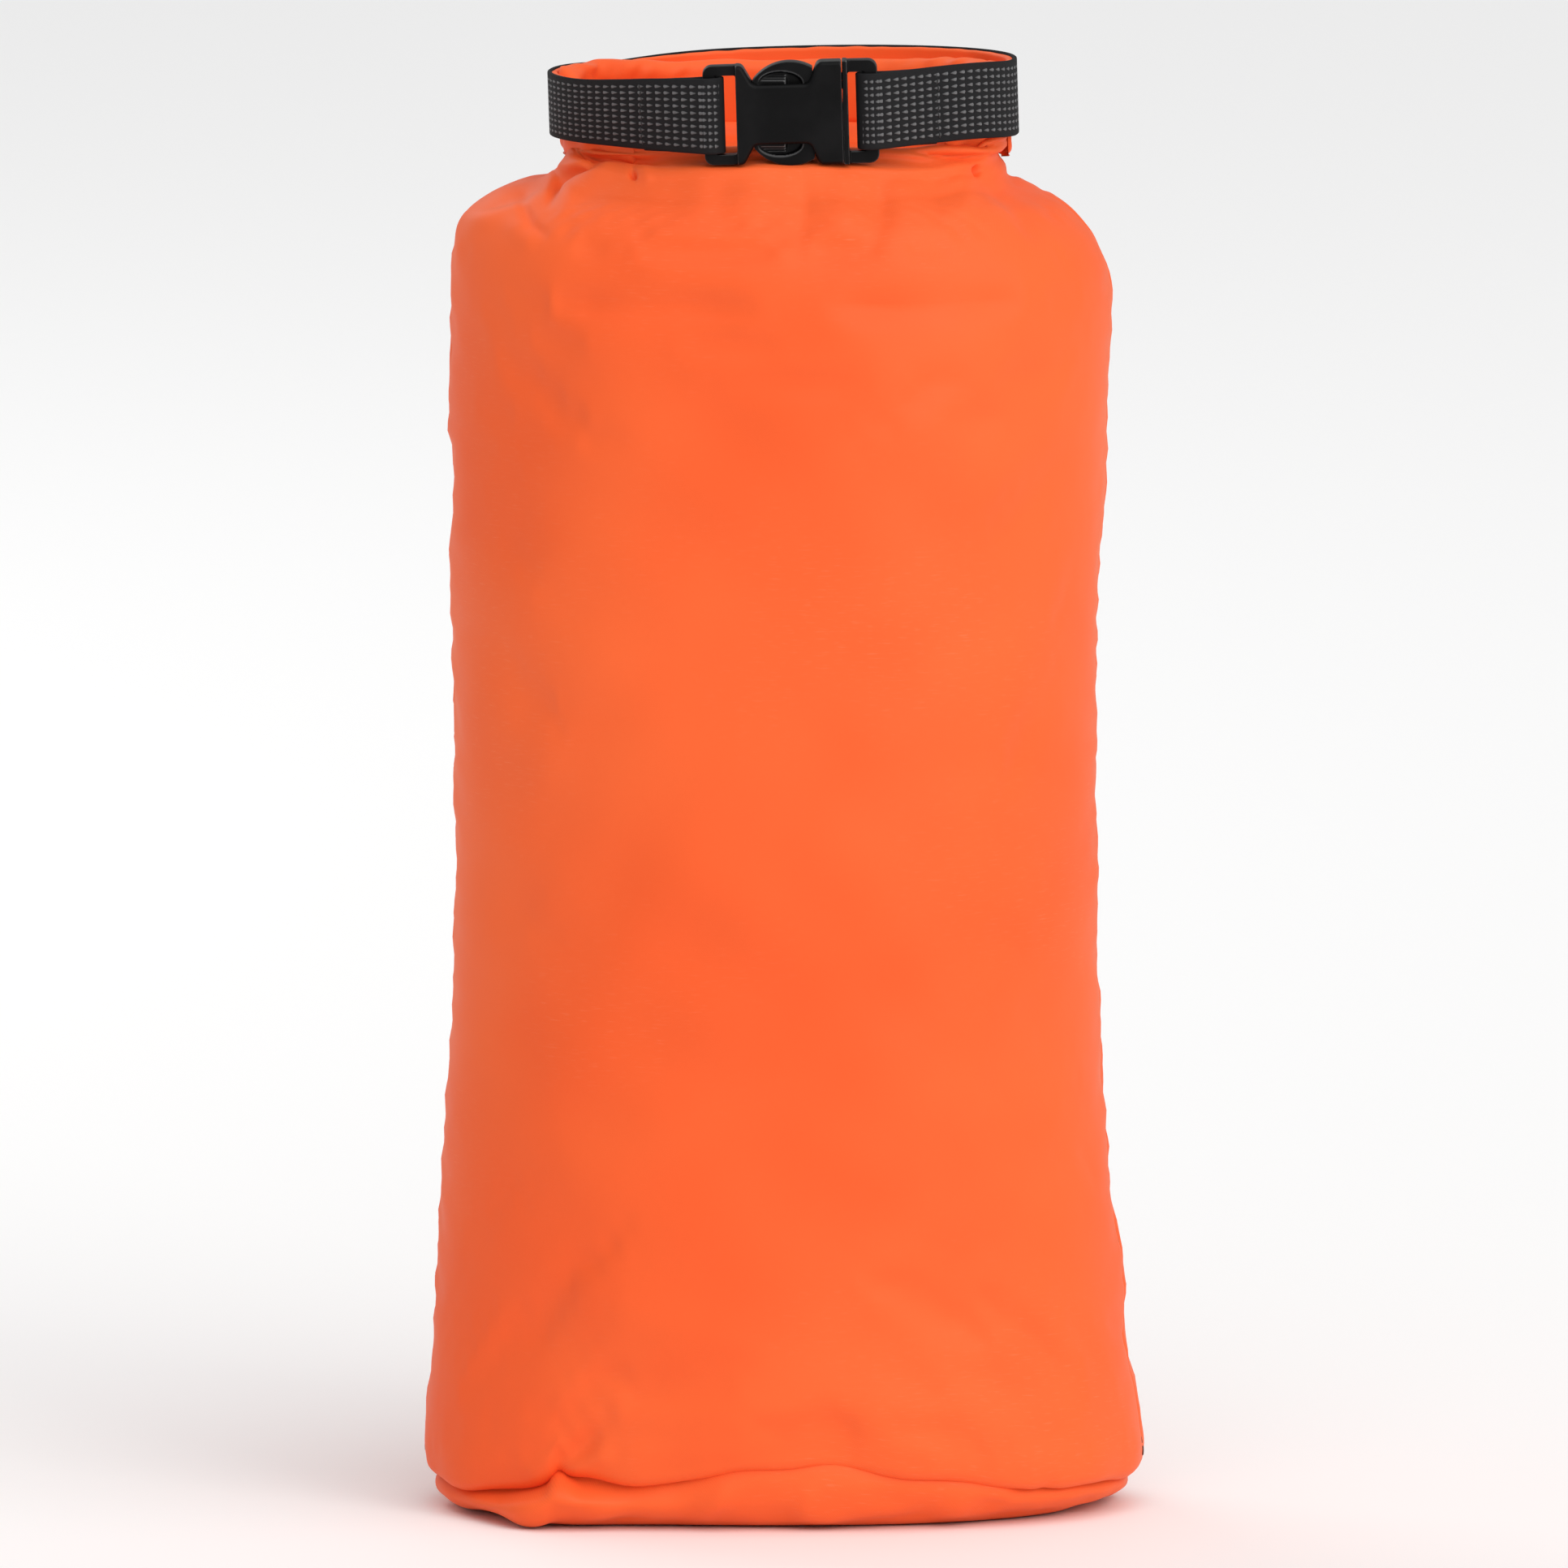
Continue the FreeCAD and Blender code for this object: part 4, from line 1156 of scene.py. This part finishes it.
for node, piece in tapes.items():
    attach(piece, "bag")
    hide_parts(node)
for node, piece in make_threads(surface, brown_thread, black_thread).items():
    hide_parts(node)
    if node == "right_bartack":
        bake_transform(piece)
    else:
        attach(piece, "closure" if node in ("left_bartack", "hem_stitching") else "bag")

# ---- studio


def make_floor():
    """A plain pale floor."""
    reach = 9000
    corners = [(x * reach, y * reach, 0) for x, y in ((-1, -1), (1, -1), (1, 1), (-1, 1))]
    floor = new_object("floor", corners, [(0, 1, 2, 3)])
    paint = Nodes("floor_paint", (0.96, 0.96, 0.96), 0.7)
    floor.data.materials.append(paint.material)


def aimed(data, place, aim):
    """A light or camera put at a place, looking along aim."""
    holder = bpy.data.objects.new(data.name, data)
    holder.location = place
    holder.rotation_euler = aim.to_track_quat("-Z", "Y").to_euler()
    bpy.context.scene.collection.objects.link(holder)
    return holder


def make_light(name, place, size, power, colour):
    """A soft area light that looks at the middle of the bag."""
    lamp = bpy.data.lights.new(name, "AREA")
    lamp.size = size
    lamp.energy = power
    lamp.color = colour
    aimed(lamp, place, Vector((0, 0, 0.2)) - Vector(place))


def make_sun(direction, strength):
    """A very soft light from far off, which is even over the whole floor."""
    lamp = bpy.data.lights.new("sun", "SUN")
    lamp.energy = strength
    lamp.angle = math.radians(70)
    aimed(lamp, (0, 0, 0), -Vector(direction))


def make_camera():
    """A long lens from a little above the bag's middle."""
    camera = bpy.data.cameras.new("camera")
    camera.sensor_width = 36
    camera.clip_end = 100
    distance, frame_width = 12.0, 0.4093
    camera.lens = camera.sensor_width * distance / frame_width
    elevation = math.radians(8)
    target = Vector((0.0002, 0, 0.1899))
    back = Vector((0, -math.cos(elevation), math.sin(elevation)))
    bpy.context.scene.camera = aimed(camera, target + back * distance, -back)


def make_world(ambient, seen):
    """Soft white surroundings, one strength as a light and another as the camera sees them."""
    world = bpy.data.worlds.new("world")
    bpy.context.scene.world = world
    world.use_nodes = True
    nodes, links = world.node_tree.nodes, world.node_tree.links
    background = nodes["Background"]
    background.inputs["Color"].default_value = (1, 1, 1, 1)
    rays = nodes.new("ShaderNodeLightPath")
    strength = nodes.new("ShaderNodeMath")
    strength.operation = "MULTIPLY_ADD"
    strength.inputs[1].default_value = seen - ambient
    strength.inputs[2].default_value = ambient
    links.new(rays.outputs["Is Camera Ray"], strength.inputs[0])
    links.new(strength.outputs[0], background.inputs["Strength"])


make_floor()
make_sun((0.55, -1.0, 1.5), 1.5)
make_light("key", (1.6, -2.0, 1.2), 1.2, 16, (1.0, 0.97, 0.9))
make_light("rim", (-1.2, 1.6, 1.5), 1.4, 10, (1.0, 1.0, 1.0))
make_camera()
make_world(0.5, 1.02)
bpy.context.scene.view_settings.view_transform = "Standard"
